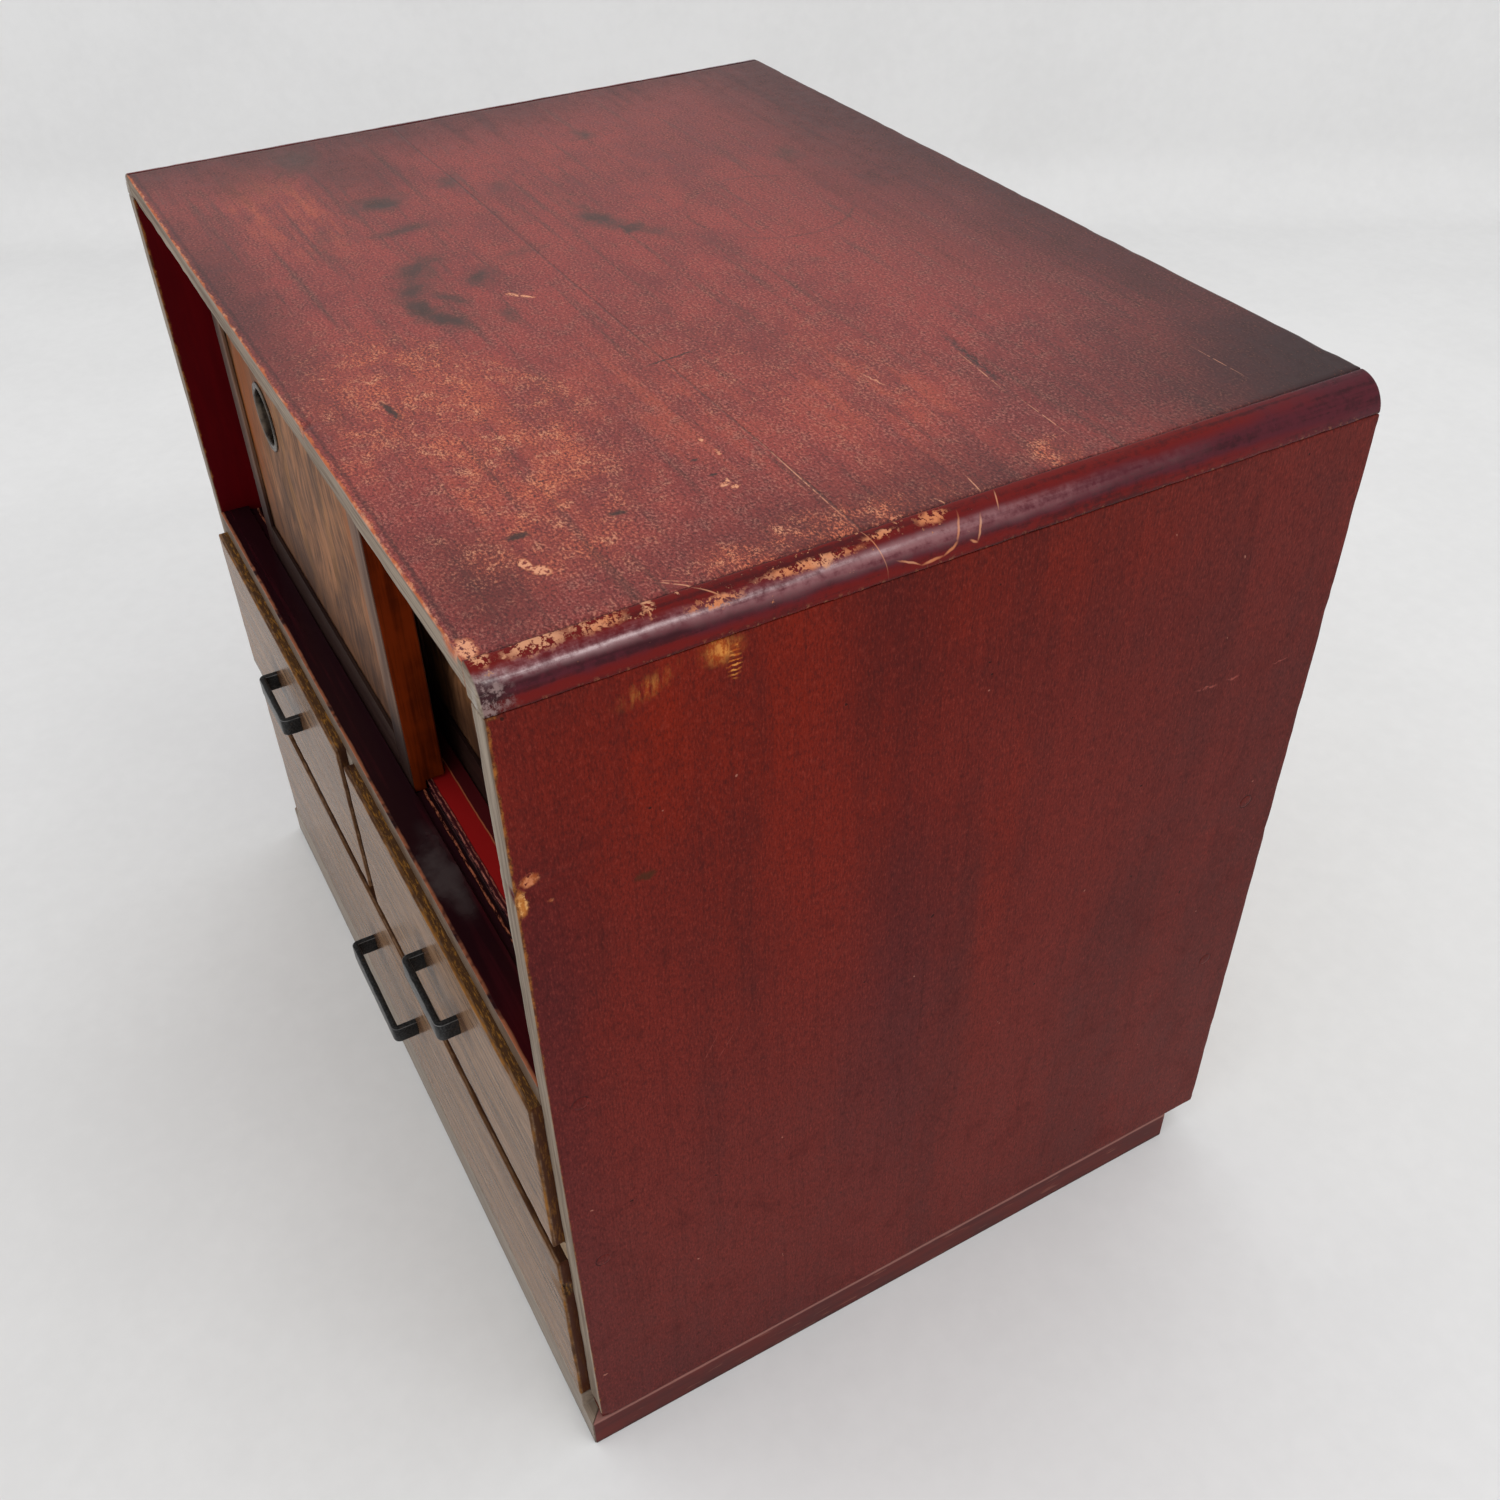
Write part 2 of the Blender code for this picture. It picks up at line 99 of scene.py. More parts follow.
# %% Camera
YAW, PITCH, ROLL = math.radians(61.24), math.radians(39.59), math.radians(-1.08)
EYE = Vector((0.70575, -0.32124, 0.87253))
FOCAL, MIDDLE, SIDE, SENSOR = 1502.69, (758.83, 726.97), 1500.0, 36.0


def stand_camera():
    ahead = Vector((-math.sin(YAW) * math.cos(PITCH), math.cos(YAW) * math.cos(PITCH), -math.sin(PITCH)))
    level = ahead.cross(Vector((0, 0, 1))).normalized()
    upright = level.cross(ahead)
    across = math.cos(ROLL) * level + math.sin(ROLL) * upright
    above = math.cos(ROLL) * upright - math.sin(ROLL) * level
    data = bpy.data.cameras.new("camera")
    data.sensor_width, data.lens = SENSOR, SENSOR * FOCAL / SIDE
    data.shift_x = (SIDE / 2 - MIDDLE[0]) / SIDE
    data.shift_y = (MIDDLE[1] - SIDE / 2) / SIDE
    data.clip_start, data.clip_end = 0.02, 40.0
    camera = bpy.data.objects.new("camera", data)
    bpy.context.scene.collection.objects.link(camera)
    rows = [(across[i], above[i], -ahead[i], EYE[i]) for i in range(3)]
    camera.matrix_world = Matrix((*rows, (0, 0, 0, 1)))
    return camera


bpy.context.scene.camera = stand_camera()
print("camera lens", round(bpy.context.scene.camera.data.lens, 2), "mm")

# %% [markdown]
# Every finish is a network of nodes. Wired by hand, its sums become hard to read, so one small class stands
# for a socket: adding, taking away and multiplying with it places the Math nodes, an upright bar takes the larger
# of two masks, and one method places any other node. Numbers alone are worked out in Python first.


# %% Sockets that do sums
class Wire:
    """A socket of a finish. Sums with it add Math nodes, and node() adds any other node."""

    def __init__(self, tree, socket=None):
        self.tree, self.socket = tree, socket

    def node(self, kind, settings=None, inputs=None, out=0):
        made = self.tree.nodes.new("ShaderNode" + kind)
        for name, value in (settings or {}).items():
            setattr(made, name, value)
        for name, value in (inputs or {}).items():
            socket = made.inputs[name]
            if isinstance(value, Wire):
                self.tree.links.new(value.socket, socket)
            elif socket.type == "RGBA":
                socket.default_value = (*value[:3], 1.0)
            else:
                socket.default_value = value
        return Wire(self.tree, made.outputs[out] if len(made.outputs) else None)

    def sum(self, operation, first, second):
        return self.node("Math", {"operation": operation}, {0: first, 1: second})

    def __add__(self, other):
        return self.sum("ADD", self, other)

    def __radd__(self, other):
        return self.sum("ADD", other, self)

    def __sub__(self, other):
        return self.sum("SUBTRACT", self, other)

    def __rsub__(self, other):
        return self.sum("SUBTRACT", other, self)

    def __mul__(self, other):
        return self.sum("MULTIPLY", self, other)

    def __rmul__(self, other):
        return self.sum("MULTIPLY", other, self)

    def __abs__(self):
        return self.sum("ABSOLUTE", self, 0.0)

    def __or__(self, other):
        return self.sum("MAXIMUM", self, other)

    def __ror__(self, other):
        return self.sum("MAXIMUM", other, self)


print("sums ready:", *(name for name in ("add", "sub", "mul", "or") if hasattr(Wire, f"__r{name}__")))

# %% [markdown]
# A few words are shared by all finishes. A place on the chest is read in metres, so a stain can be put where it
# is on the old piece. Noise gives the uneven hand work, and stretched noise gives grain.

# %% Words shared by the finishes
FINISH = {}


def start_finish(name):
    material = bpy.data.materials.new(name)
    material.use_nodes = True
    material.node_tree.nodes.clear()
    return material, Wire(material.node_tree).node("TexCoord", out="Object")


def axes(point):
    split = point.node("SeparateXYZ", {}, {0: point})
    return [Wire(point.tree, socket) for socket in split.socket.node.outputs]


def smooth(value, low, high):
    return value.node(
        "MapRange", {"interpolation_type": "SMOOTHSTEP"}, {"Value": value, "From Min": low, "From Max": high}
    )


def vectors(operation, *values, out=0):
    return values[0].node("VectorMath", {"operation": operation}, dict(enumerate(values)), out)


def stretched(point, x, y, z):
    return vectors("MULTIPLY", point, (x, y, z))


def grit(point, scale, detail=3.0, rough=0.55):
    if isinstance(scale, tuple):
        point, scale = stretched(point, *scale), 1.0
    return point.node(
        "TexNoise",
        {"noise_dimensions": "3D"},
        {"Vector": point, "Scale": scale, "Detail": detail, "Roughness": rough},
    )


def distance(point, spot):
    return vectors("DISTANCE", point, spot, out=1)


def warped(point, scale, amount):
    cloud = point.node("TexNoise", {}, {"Vector": point, "Scale": scale, "Detail": 3.0}, out=1)
    return vectors("MULTIPLY_ADD", vectors("SUBTRACT", cloud, (0.5, 0.5, 0.5)), (amount,) * 3, point)


def sine(value):
    return value.node("Math", {"operation": "SINE"}, {0: value})


def mix(share, first, second):
    return share.node("Mix", {"data_type": "RGBA"}, {0: share, 6: first, 7: second}, out=2)


def near_arris(point):
    return point.node("Attribute", {"attribute_name": "arris"}, out="Fac")


def close_finish(material, colour, rough, height=None, depth=0.0002, strength=0.5, **even):
    wire = Wire(material.node_tree)
    inputs = {"Base Color": colour, "Roughness": rough}
    inputs.update({name.replace("_", " "): value for name, value in even.items()})
    if height is not None:
        inputs["Normal"] = wire.node("Bump", {}, {"Strength": strength, "Distance": depth, "Height": height})
    wire.node("OutputMaterial", {}, {"Surface": wire.node("BsdfPrincipled", {}, inputs)})
    print("finish", material.name, "of", len(material.node_tree.nodes), "nodes")
    return material


print("shared words ready,", len(FINISH), "finishes so far")

# %% [markdown]
# Stains, chips and scratches are all patches: soft spots of a given centre, size and turn. Each kind is listed in
# rows for one board, with the centre and the two half sizes on its plane. A turn, a strength and a sharpness
# follow in a row where they aren't 0, 1 and that of the list. Bent by noise, the ovals lose their even outline.

# %% Patches
FAR = 1000.0


def any_of(masks):
    found = masks[0]
    for mask in masks[1:]:
        found = found | mask
    return found


def patch(point, centre, size, turn=(0, 0, 0), inner=0.0):
    own = point.node(
        "Mapping",
        {"vector_type": "TEXTURE"},
        {"Vector": point, "Location": centre, "Rotation": turn, "Scale": size},
    )
    return smooth(vectors("LENGTH", own, out=1), 1.0, inner)


def patches(point, across, inner, rows, spread=1.0, level=0.0, deep=FAR):
    found = []
    for u, v, wide, high, *more in rows:
        turn, share, own_inner = (*more, *(0, 1, inner)[len(more) :])
        wide, high = wide * spread, high * spread
        if across == "z":
            mask = patch(point, (u, v, level), (wide, high, deep), (0, 0, turn), own_inner)
        else:
            mask = patch(point, (level, u, v), (deep, wide, high), (turn, 0, 0), own_inner)
        found.append(mask if share == 1 else mask * share)
    return any_of(found)


def on_right(x):
    return smooth(x, 0.0, 0.1)


print("patches lie across x or z")

# %% [markdown]
# The joints, faces and edges that the finishes need are read from the solids, so that a change in the joiner's
# sizes carries over: the case's front plane, the outer and inner faces of the sides and the top's own surface.

# %% Planes of the case
panel_low, panel_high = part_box("right_side_panel")
OUTER_X, INNER_X = panel_high.x, panel_low.x
FRONT_Y, BACK_Y = panel_low.y, panel_high.y
TOP_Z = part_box("top_board")[1].z
SEAM_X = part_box("right_corner_piece")[0].x
SEAM_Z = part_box("right_corner_piece")[0].z
FACE_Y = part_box("lower_drawer_front")[0].y
SHELF_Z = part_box("door_shelf")[1].z
print("front", round(FRONT_Y, 4), "faces", round(FACE_Y, 4), "top", round(TOP_Z, 4), "seam", round(SEAM_X, 4))

# %% [markdown]
# Bare wood shows where the boards end at the front: a narrow grey strip of weathered wood. Its fine lines run
# along each board. A single grey would look like paint, so two noises stretched along the board make the lines.

# %% Bare grey front wood
ALONG = {"x": (1.0, 30.0, 30.0), "y": (30.0, 1.0, 30.0), "z": (30.0, 30.0, 1.0)}
GREY_LIGHT, GREY_DARK = (0.325, 0.262, 0.203), (0.150, 0.108, 0.078)


def grain(point, along, scale, detail=5.0):
    return grit(stretched(point, *ALONG[along]), scale, detail, 0.6)


def bare_grey(point, along):
    lines = grain(point, along, 7.0)
    hairs = grain(point, along, 26.0, 3.0)
    return mix(smooth(lines * 0.6 + hairs * 0.4, 0.36, 0.64), GREY_DARK, GREY_LIGHT)


print("grain along", *ALONG)

# %% [markdown]
# The top carries most of the chest's history, so its finish is built in layers. The ground is a red-brown lacquer,
# streaked along the boards, warmer where it has thinned and sanded with dust. Along the back and the ends, and at a
# few listed places, it is darkened with painted shade. A gradient could darken the ends, but its edge would be too
# even, so noise pushes it about.

# %% Ground of the top
TOP_RED, TOP_DEEP, TOP_BROWN = (0.285, 0.038, 0.032), (0.190, 0.027, 0.026), (0.125, 0.033, 0.026)
TOP_WARM, TOP_DARK, DUST = (0.390, 0.070, 0.036), (0.028, 0.009, 0.010), (0.490, 0.185, 0.148)
WARM = [
    (-0.180, -0.142, 0.120, 0.044, 0, 1, 0.2),
    (0.190, 0.024, 0.090, 0.055, 0, 0.8),
    (0.150, -0.060, 0.120, 0.050, 0, 0.6),
    (0.130, -0.150, 0.160, 0.060, 0, 0.6),
]
# places darkened with painted shade
PAINTED_SHADE = [
    (0.33, 0.26, 0.27, 0.23, 0, 1, 0.25),
    (0.30, -0.02, 0.085, 0.16, 0, 0.75),
    (0.245, -0.185, 0.070, 0.036, 0, 0.60),
    (-0.05, -0.200, 0.260, 0.034, 0, 0.50),
    (-0.23, -0.09, 0.100, 0.050, 0, 0.55),
]


def top_wear(point):
    return SimpleNamespace(
        broad=grit(point, 6.5, 4.0, 0.6),
        cloud=grit(stretched(point, 1.0, 1.6, 1.0), 24.0, 6.0, 0.68),
        grime=grit(point, 120.0, 7.0, 0.72),
        streaks=grit(point, (6.0, 120.0, 30.0), 6.0, 0.68),
        sand=grit(stretched(point, 1.0, 1.35, 1.0), 600.0, 4.0, 0.70),
        loose=warped(point, 55.0, 0.020),
        ragged=warped(point, 420.0, 0.0030),
    )


def top_ground(x, y, wear):
    colour = mix(smooth(wear.broad * 0.5 + wear.cloud * 0.5, 0.40, 0.60), TOP_DEEP, TOP_RED)
    colour = mix(smooth(wear.streaks, 0.48, 0.30) * 0.85, colour, TOP_BROWN)
    warm = patches(wear.loose, "z", 0.0, WARM) + 0.10
    colour = mix(warm * smooth(wear.streaks + (wear.cloud - 0.5) * 0.6, 0.42, 0.66), colour, TOP_WARM)
    colour = mix(smooth(wear.sand, 0.52, 0.36) * 0.60, colour, TOP_DARK)
    near_side = smooth(x - y * 0.3, -0.30, 0.20) * 0.26 + 0.26
    colour = mix(smooth(wear.sand + (wear.grime - 0.5) * 0.5, 0.50, 0.64) * near_side, colour, DUST)
    uneven = (wear.broad - 0.5) * 0.16 + (wear.cloud - 0.5) * 0.12 + (wear.streaks - 0.5) * 0.16
    # painted shade along the back, at the far end and at the listed places
    back = smooth(y + uneven, 0.100, 0.250) * 0.80
    far_end_shade = smooth(uneven - x, 0.205, 0.310) * 0.72
    colour = mix(back | far_end_shade | patches(wear.loose, "z", 0.0, PAINTED_SHADE), colour, TOP_DARK)
    return mix(smooth(wear.grime, 0.50, 0.66) * 0.32, colour, TOP_DARK)


print("top:", len(WARM), "warm and", len(PAINTED_SHADE), "dark places")

# %% [markdown]
# Wet things left standing have soaked in as soft brown stains, in broken curves at the left of the top. A painted
# outline would be too sharp. Each stain is a row of overlapping patches, torn by two noises, with a darker core.

# %% Stains on the top
STAIN, SOAKED, SPREAD = (0.026, 0.020, 0.017), (0.080, 0.034, 0.028), 1.75
STAINS = [
    (-0.0530, -0.1040, 0.024, 0.0120, -0.66, 0.9),
    (-0.0275, -0.1172, 0.022, 0.0110, -0.28, 0.9),
    (-0.0050, -0.1202, 0.018, 0.0095, 0.08),
    (0.0130, -0.1144, 0.020, 0.0095, 0.53),
    (-0.0259, -0.0798, 0.015, 0.0095, -0.30, 0.9),
    (-0.0105, -0.1027, 0.015, 0.0065, 0.30, 0.8),
    (0.0250, -0.0859, 0.010, 0.0065, 0.40, 0.7),
    (-0.1560, -0.0930, 0.013, 0.0190),
    (-0.1550, -0.1080, 0.012, 0.0140, 0, 0.5),
    (-0.1110, -0.0940, 0.007, 0.0240, 0, 0.8),
    (-0.1170, -0.1380, 0.018, 0.0065, -0.36, 0.5),
    (-0.0950, -0.1410, 0.018, 0.0060, 0.10, 0.5),
    (-0.2531, -0.1144, 0.032, 0.0180, 0.10, 0.8),
    (-0.2050, -0.1000, 0.032, 0.0130, 0.10, 0.4),
    (-0.1671, -0.0442, 0.015, 0.0070, 0, 0.8),
    (-0.1445, -0.0234, 0.010, 0.0090, 0, 0.6),
    (-0.0940, 0.0037, 0.026, 0.0070, 0, 0.6),
    (-0.0660, 0.0075, 0.021, 0.0090, 0.27, 0.9),
    (-0.0460, 0.0170, 0.013, 0.0070, 0.75, 0.9),
    (-0.0340, 0.0255, 0.013, 0.0060, 0.47, 0.7),
    (-0.0460, -0.0520, 0.008, 0.0180, 0.20, 0.5),
    (-0.1060, 0.1510, 0.012, 0.0100, -0.50, 0.6),
    (-0.0730, 0.1690, 0.010, 0.0100, 0.80, 0.5),
    (-0.2050, 0.0570, 0.010, 0.0070, 0, 0.8),
]


def top_stains(colour, wear):
    stained = patches(warped(wear.loose, 150.0, 0.010), "z", 0.0, STAINS, SPREAD)
    eaten = smooth(stained * 0.26 + wear.grime * 0.55 + wear.streaks * 0.40, 0.52, 0.66)
    colour = mix(stained * (0.45 + eaten * 0.55), colour, SOAKED)
    return mix(smooth(stained, 0.60, 1.0) * eaten * 0.40, colour, STAIN)


print("top:", len(STAINS), "stains")

# %% [markdown]
# Over the front right of the top the lacquer has rubbed through in a tan speckle, with a slanting border at the
# left and one spared place inside. Fine noise decides which grains are bare and which stay as dark pits, and a
# slow noise gathers them into drifts.

# %% Rubbed places on the top
RUBBED, TAN = (0.580, 0.160, 0.078), (0.680, 0.300, 0.170)
RUBS = [(0.135, -0.150, 0.190, 0.086), (0.272, 0.065, 0.016, 0.018), (0.276, -0.060, 0.020, 0.090)]


def top_rub(colour, point, x, y, wear):
    drifts = grit(stretched(point, 1.0, 1.3, 1.0), 36.0, 8.0, 0.72)
    slope = smooth(x * 0.562 - y * 0.827 + (drifts - 0.5) * 0.03, 0.122, 0.132) | smooth(y, -0.09, -0.07)
    faint = patch(wear.loose, (0.170, -0.010, 0), (0.200, 0.130, FAR), inner=0.1) * 0.45
    spared = patch(wear.loose, (0.178, -0.185, 0), (0.060, 0.026, FAR), inner=0.2)
    rubbed = ((patches(wear.loose, "z", 0.40, RUBS) * slope) | faint) * smooth(drifts, 0.29, 0.65)
    rubbed = rubbed * (1 - spared * 0.75)
    specks = grit(stretched(point, 1.0, 1.35, 1.0), 600.0, 5.0, 0.78)
    bared = smooth(specks + rubbed * 0.105 + (wear.grime - 0.5) * 0.30, 0.605, 0.640)
    pits = smooth(specks + (wear.grime - 0.5) * 0.3, 0.47, 0.38)
    colour = mix(rubbed * 0.30, colour, TOP_WARM)
    colour = mix(pits * (0.22 + rubbed * 0.60), colour, TOP_DARK)
    wood = mix(smooth(wear.grime, 0.48, 0.66), RUBBED, TAN)
    return mix(bared * (0.20 + rubbed * 0.75), colour, wood), bared * rubbed


print("top:", len(RUBS), "rubs")

# %% [markdown]
# Then come the cuts: short black dashes, the open joint between the top's two boards, a long crack, the faint
# ring of something round and fine pale scratches. The joint is a thin line in y that noise bends and breaks.

# %% Cuts in the top
GAP_DARK, JOINT_BEFORE, RING = (0.032, 0.022, 0.020), 0.0417, 0.048
DASHES = [
    (0.0920, -0.1694, 0.0150, 0.0024, 0.14),
    (0.2185, -0.1605, 0.0034, 0.0075),
    (0.2230, -0.1190, 0.0026, 0.0060, -0.20),
    (0.1100, -0.0380, 0.0009, 0.0220, 0.12),
    (0.2160, -0.0720, 0.0012, 0.0032, 0.10),
    (0.2010, -0.0730, 0.0012, 0.0030, 0.10),
]
SCRATCHES = [
    (0.240, -0.0422, 0.056, 0.0005, -0.02),
    (0.281, -0.121, 0.018, 0.0006, 0.84),
    (0.279, -0.120, 0.014, 0.0004, 0.98),
    (0.278, 0.0165, 0.013, 0.0005, -0.15),
    (0.281, -0.0030, 0.006, 0.0006, 0.35),
    (0.248, 0.0770, 0.028, 0.0004, -0.05),
    (0.196, 0.0790, 0.030, 0.0005, -0.11),
    (0.058, -0.1712, 0.010, 0.0005, 0.72),
    (0.0455, -0.1870, 0.0022, 0.0010, 0.9, 1, 0.3),
    (0.245, 0.1790, 0.026, 0.0003),
]


def top_cuts(colour, point, y, wear):
    colour = mix(patches(wear.ragged, "z", 0.3, DASHES) * 0.85, colour, STAIN)
    from_joint = abs(y + (grit(point, 9.0, 2.0) - 0.5) * 0.003 + JOINT_BEFORE)
    joint = smooth(from_joint, 0.0010, 0.0002) * smooth(grit(point, 45.0, 3.0), 0.26, 0.50)
    crack = patch(wear.ragged, (0.186, 0.083, 0), (0.048, 0.0036, FAR), (0, 0, -0.115), 0.1)
    crack = crack * smooth(grit(stretched(point, 1.0, 2.4, 1.0), 260.0, 5.0, 0.7), 0.40, 0.50)
    colour = mix((joint * 0.45) | (crack * 0.85), colour, GAP_DARK)
    from_middle = distance(stretched(point, 1.0, 1.0, 0.0), (-0.035, 0.098, 0))
    ring = smooth(abs(from_middle + (wear.grime - 0.5) * 0.006 - RING), 0.0016, 0.0004)
    colour = mix(ring * smooth(wear.cloud, 0.46, 0.60) * 0.35, colour, STAIN)
    lines = patches(point, "z", 0.2, SCRATCHES)
    lines = lines | patch(wear.ragged, (0.178, 0.0320, 0), (0.012, 0.0008, FAR), (0, 0, 0.2), 0.2)
    colour = mix(lines * 0.75 * smooth(grit(point, 300.0), 0.40, 0.54), colour, TAN)
    return colour, joint | crack, lines


print("top:", len(DASHES), "dashes and", len(SCRATCHES), "scratches")

# %% [markdown]
# Last on the top are the chips and the front arris, rubbed to orange and tan along a ragged line with a dark
# line behind it. Below the arris the board's front edge is bare grey. The layers above join here in one finish.

# %% Top lacquer
ARRIS_ORANGE = (0.520, 0.130, 0.040)
TOP_CHIPS = [
    (0.2390, -0.1655, 0.0060, 0.0030, 0.10),
    (0.2460, -0.1620, 0.0055, 0.0040, 0.60),
    (0.2255, -0.0715, 0.0020, 0.0030, 0.20),
    (0.2290, -0.0680, 0.0018, 0.0030, 0.20),
    (0.2230, -0.0690, 0.0022, 0.0012, 0.20),
    (0.2000, -0.0610, 0.0035, 0.0009),
    (0.1870, -0.0625, 0.0020, 0.0009),
    (0.0040, -0.0740, 0.0065, 0.0018, 0.65),
    (0.0090, -0.0690, 0.0060, 0.0016, 0.75),
    (0.2780, -0.2050, 0.0090, 0.0050),
]


def top_lacquer():
    material, point = start_finish("top_lacquer")
    x, y, z = axes(point)
    wear = top_wear(point)
    colour = top_stains(top_ground(x, y, wear), wear)
    colour, bared = top_rub(colour, point, x, y, wear)
    colour, gaps, lines = top_cuts(colour, point, y, wear)
    chips = patches(wear.ragged, "z", 0.55, TOP_CHIPS) * smooth(grit(point, 620.0, 3.0, 0.6), 0.42, 0.48)
    shaken = grit(stretched(point, 1.0, 2.0, 1.0), 110.0, 6.0, 0.74) - 0.5
    edge = smooth(y + shaken * 0.0070, FRONT_Y + 0.0015, FRONT_Y + 0.0003)
    worn = chips | (edge * 0.85)
    colour = mix(worn, colour, mix(chips | smooth(wear.grime, 0.48, 0.62), ARRIS_ORANGE, TAN))
    behind = smooth(abs(y + shaken * 0.004 - FRONT_Y - 0.0040), 0.0016, 0.0004)
    colour = mix(behind * 0.45 * (1 - worn), colour, TOP_DARK)
    front = smooth(y, FRONT_Y + 0.0006, FRONT_Y + 0.0001) * smooth(z, TOP_Z - 0.0004, TOP_Z - 0.0012)
    colour = mix(front, colour, bare_grey(point, "x"))
    rough = 0.42 + (wear.grime - 0.5) * 0.30 + worn * 0.2 + bared * 0.2 + front * 0.2
    height = wear.streaks * 0.25 + wear.sand * 0.20 + wear.grime * 0.45
    height = height - worn * 0.8 - gaps * 1.2 - lines * 0.5
    return close_finish(material, colour, rough, height, 0.00022, 0.40, Specular_IOR_Level=0.20)


FINISH["top_lacquer"] = top_lacquer()

# %% [markdown]
# The rounded corner pieces along the top's ends are the darkest lacquer, almost purple, and glossier than the
# flat boards because hands polish them. Along the crest of the round a pink sheen is painted, with a painted pale
# highlight towards the front, and the crest takes a clear coat there, so that the light runs along it.

# %% Ground of the corner pieces
CORNER_PLUM, CORNER_RED, CORNER_BLACK = (0.075, 0.0100, 0.0170), (0.130, 0.0055, 0.0045), (0.016, 0.004, 0.006)
CREST_SHEEN, CREST_HIGHLIGHT = (0.300, 0.075, 0.085), (0.420, 0.260, 0.270)


def corner_wear(point):
    return SimpleNamespace(
        cloud=grit(point, 34.0, 4.0, 0.6),
        drawn=grit(point, (220.0, 8.0, 220.0), 4.0, 0.6),
        grime=grit(point, 240.0, 6.0, 0.72),
        ragged=warped(point, 300.0, 0.0045),
        wavy=warped(point, 110.0, 0.0024),
    )


def corner_ground(across, y, wear):
    drawn, grime, sway = wear.drawn, wear.grime, wear.cloud - 0.5
    upper = smooth(across + sway * 0.004, SEAM_X + 0.0120, SEAM_X + 0.0060)
    lower = smooth(across + sway * 0.002, SEAM_X + 0.0142, SEAM_X + 0.0156)
    colour = mix((upper | lower) * smooth(y + sway * 0.1, 0.22, 0.12), CORNER_PLUM, CORNER_RED)
    joint = smooth(across + (grime - 0.5) * 0.0016, SEAM_X + 0.0012, SEAM_X + 0.0003)
    colour = mix(joint * 0.6 | smooth(drawn * 0.6 + grime * 0.4, 0.47, 0.62) * 0.6, colour, CORNER_BLACK)
    # painted sheen along the crest, set where the light catches the round, and a painted pale highlight at the
    # front
    ridge = SEAM_X + 0.0095 + smooth(y, -0.190, -0.070) * 0.0019
    sheen_crest = smooth(abs(across - ridge + sway * 0.002), 0.0038, 0.0006)
    sheen_crest = sheen_crest * smooth(drawn * 0.55 + grime * 0.45, 0.34, 0.58) * smooth(y + sway * 0.1, 0.15, -0.02)
    colour = mix(sheen_crest * 0.58, colour, CREST_SHEEN)
    front_highlight = sheen_crest * smooth(y, -0.120, -0.195) * smooth(drawn * 0.5 + grime * 0.5, 0.44, 0.58)
    return mix(front_highlight * 0.48, colour, CREST_HIGHLIGHT), upper, sheen_crest


print("corner seam at", round(SEAM_X, 4), round(SEAM_Z, 4))

# %% [markdown]
# Along the joint with the top the lacquer has flaked off in tan islands, and hooked scratches run over the round.
# Flakes break with sharp edges, so they come from a hard step on noise, held to patches beside the joint.

# %% Flakes and cuts on the corner pieces
CUT_DEEP = 0.02
FLAKES = [
    (0.2885, -0.0120, 0.0042, 0.0100),
    (0.2890, -0.0360, 0.0026, 0.0120),
    (0.2915, -0.0700, 0.0030, 0.0300),
    (0.2875, -0.1370, 0.0070, 0.0028),
    (0.2870, -0.1580, 0.0055, 0.0150),
    (0.2870, -0.1820, 0.0060, 0.0170),
    (0.2860, -0.2030, 0.0050, 0.0050),
    (0.2935, -0.1120, 0.0026, 0.0160),
]
HOOKS = [
    (-0.0032, 0.5500, 0.0008, 0.0064, -0.58),
    (-0.0092, 0.5438, 0.0052, 0.0009, 0.52),
    (-0.0178, 0.5417, 0.0068, 0.0009, 0.06),
    (-0.0286, 0.5437, 0.0074, 0.0006, -0.40),
    (0.0062, 0.5477, 0.0007, 0.0062, -0.47),
    (0.0023, 0.5440, 0.0026, 0.0007, -0.56),
]
HIGH_CUTS = [(0.290, 0.0190, 0.006, 0.0005, -0.38)]
CREST_CUTS = [(0.292, -0.041, 0.013, 0.0004, 0.25), (0.290, -0.112, 0.010, 0.0005, 0.84)]


def corner_flakes(point, x, y, upper, wear):
    specks = smooth(wear.grime + upper * smooth(y, 0.03, -0.05) * 0.06, 0.665, 0.690) * on_right(x)
    islands = smooth(wear.grime * 0.7 + grit(point, 760.0, 3.0, 0.65) * 0.3, 0.480, 0.510)
    return (patches(wear.ragged, "z", 0.35, FLAKES) * islands) | (specks * smooth(y, 0.05, -0.02) * 0.8)


def corner_cuts(point, x, wear):
    hooks = patches(wear.wavy, "x", 0.3, HOOKS, level=OUTER_X, deep=CUT_DEEP)
    high = patches(point, "z", 0.2, HIGH_CUTS, level=0.554, deep=CUT_DEEP)
    return (hooks | high | patches(point, "z", 0.2, CREST_CUTS, level=0.552, deep=CUT_DEEP)) * on_right(x)


print("corners:", len(FLAKES), "flakes and", len(HOOKS + HIGH_CUTS + CREST_CUTS), "cuts")

# %% [markdown]
# The lower seam of the corner piece is a dark joint with painted shade under the round and is nicked, and its front
# end is battered almost to bare wood. Both could be painted by hand on the mesh. Steps in z and y, pushed about by
# noise, do it without a picture.

# %% Corner lacquer
FLAKE, FLAKE_PALE, NICK = (0.540, 0.185, 0.080), (0.57, 0.26, 0.145), (0.26, 0.090, 0.040)
LOW_JOINT_SHADE, BATTER_DARK, BATTER_PALE = (0.014, 0.005, 0.005), (0.020, 0.013, 0.013), (0.300, 0.200, 0.190)


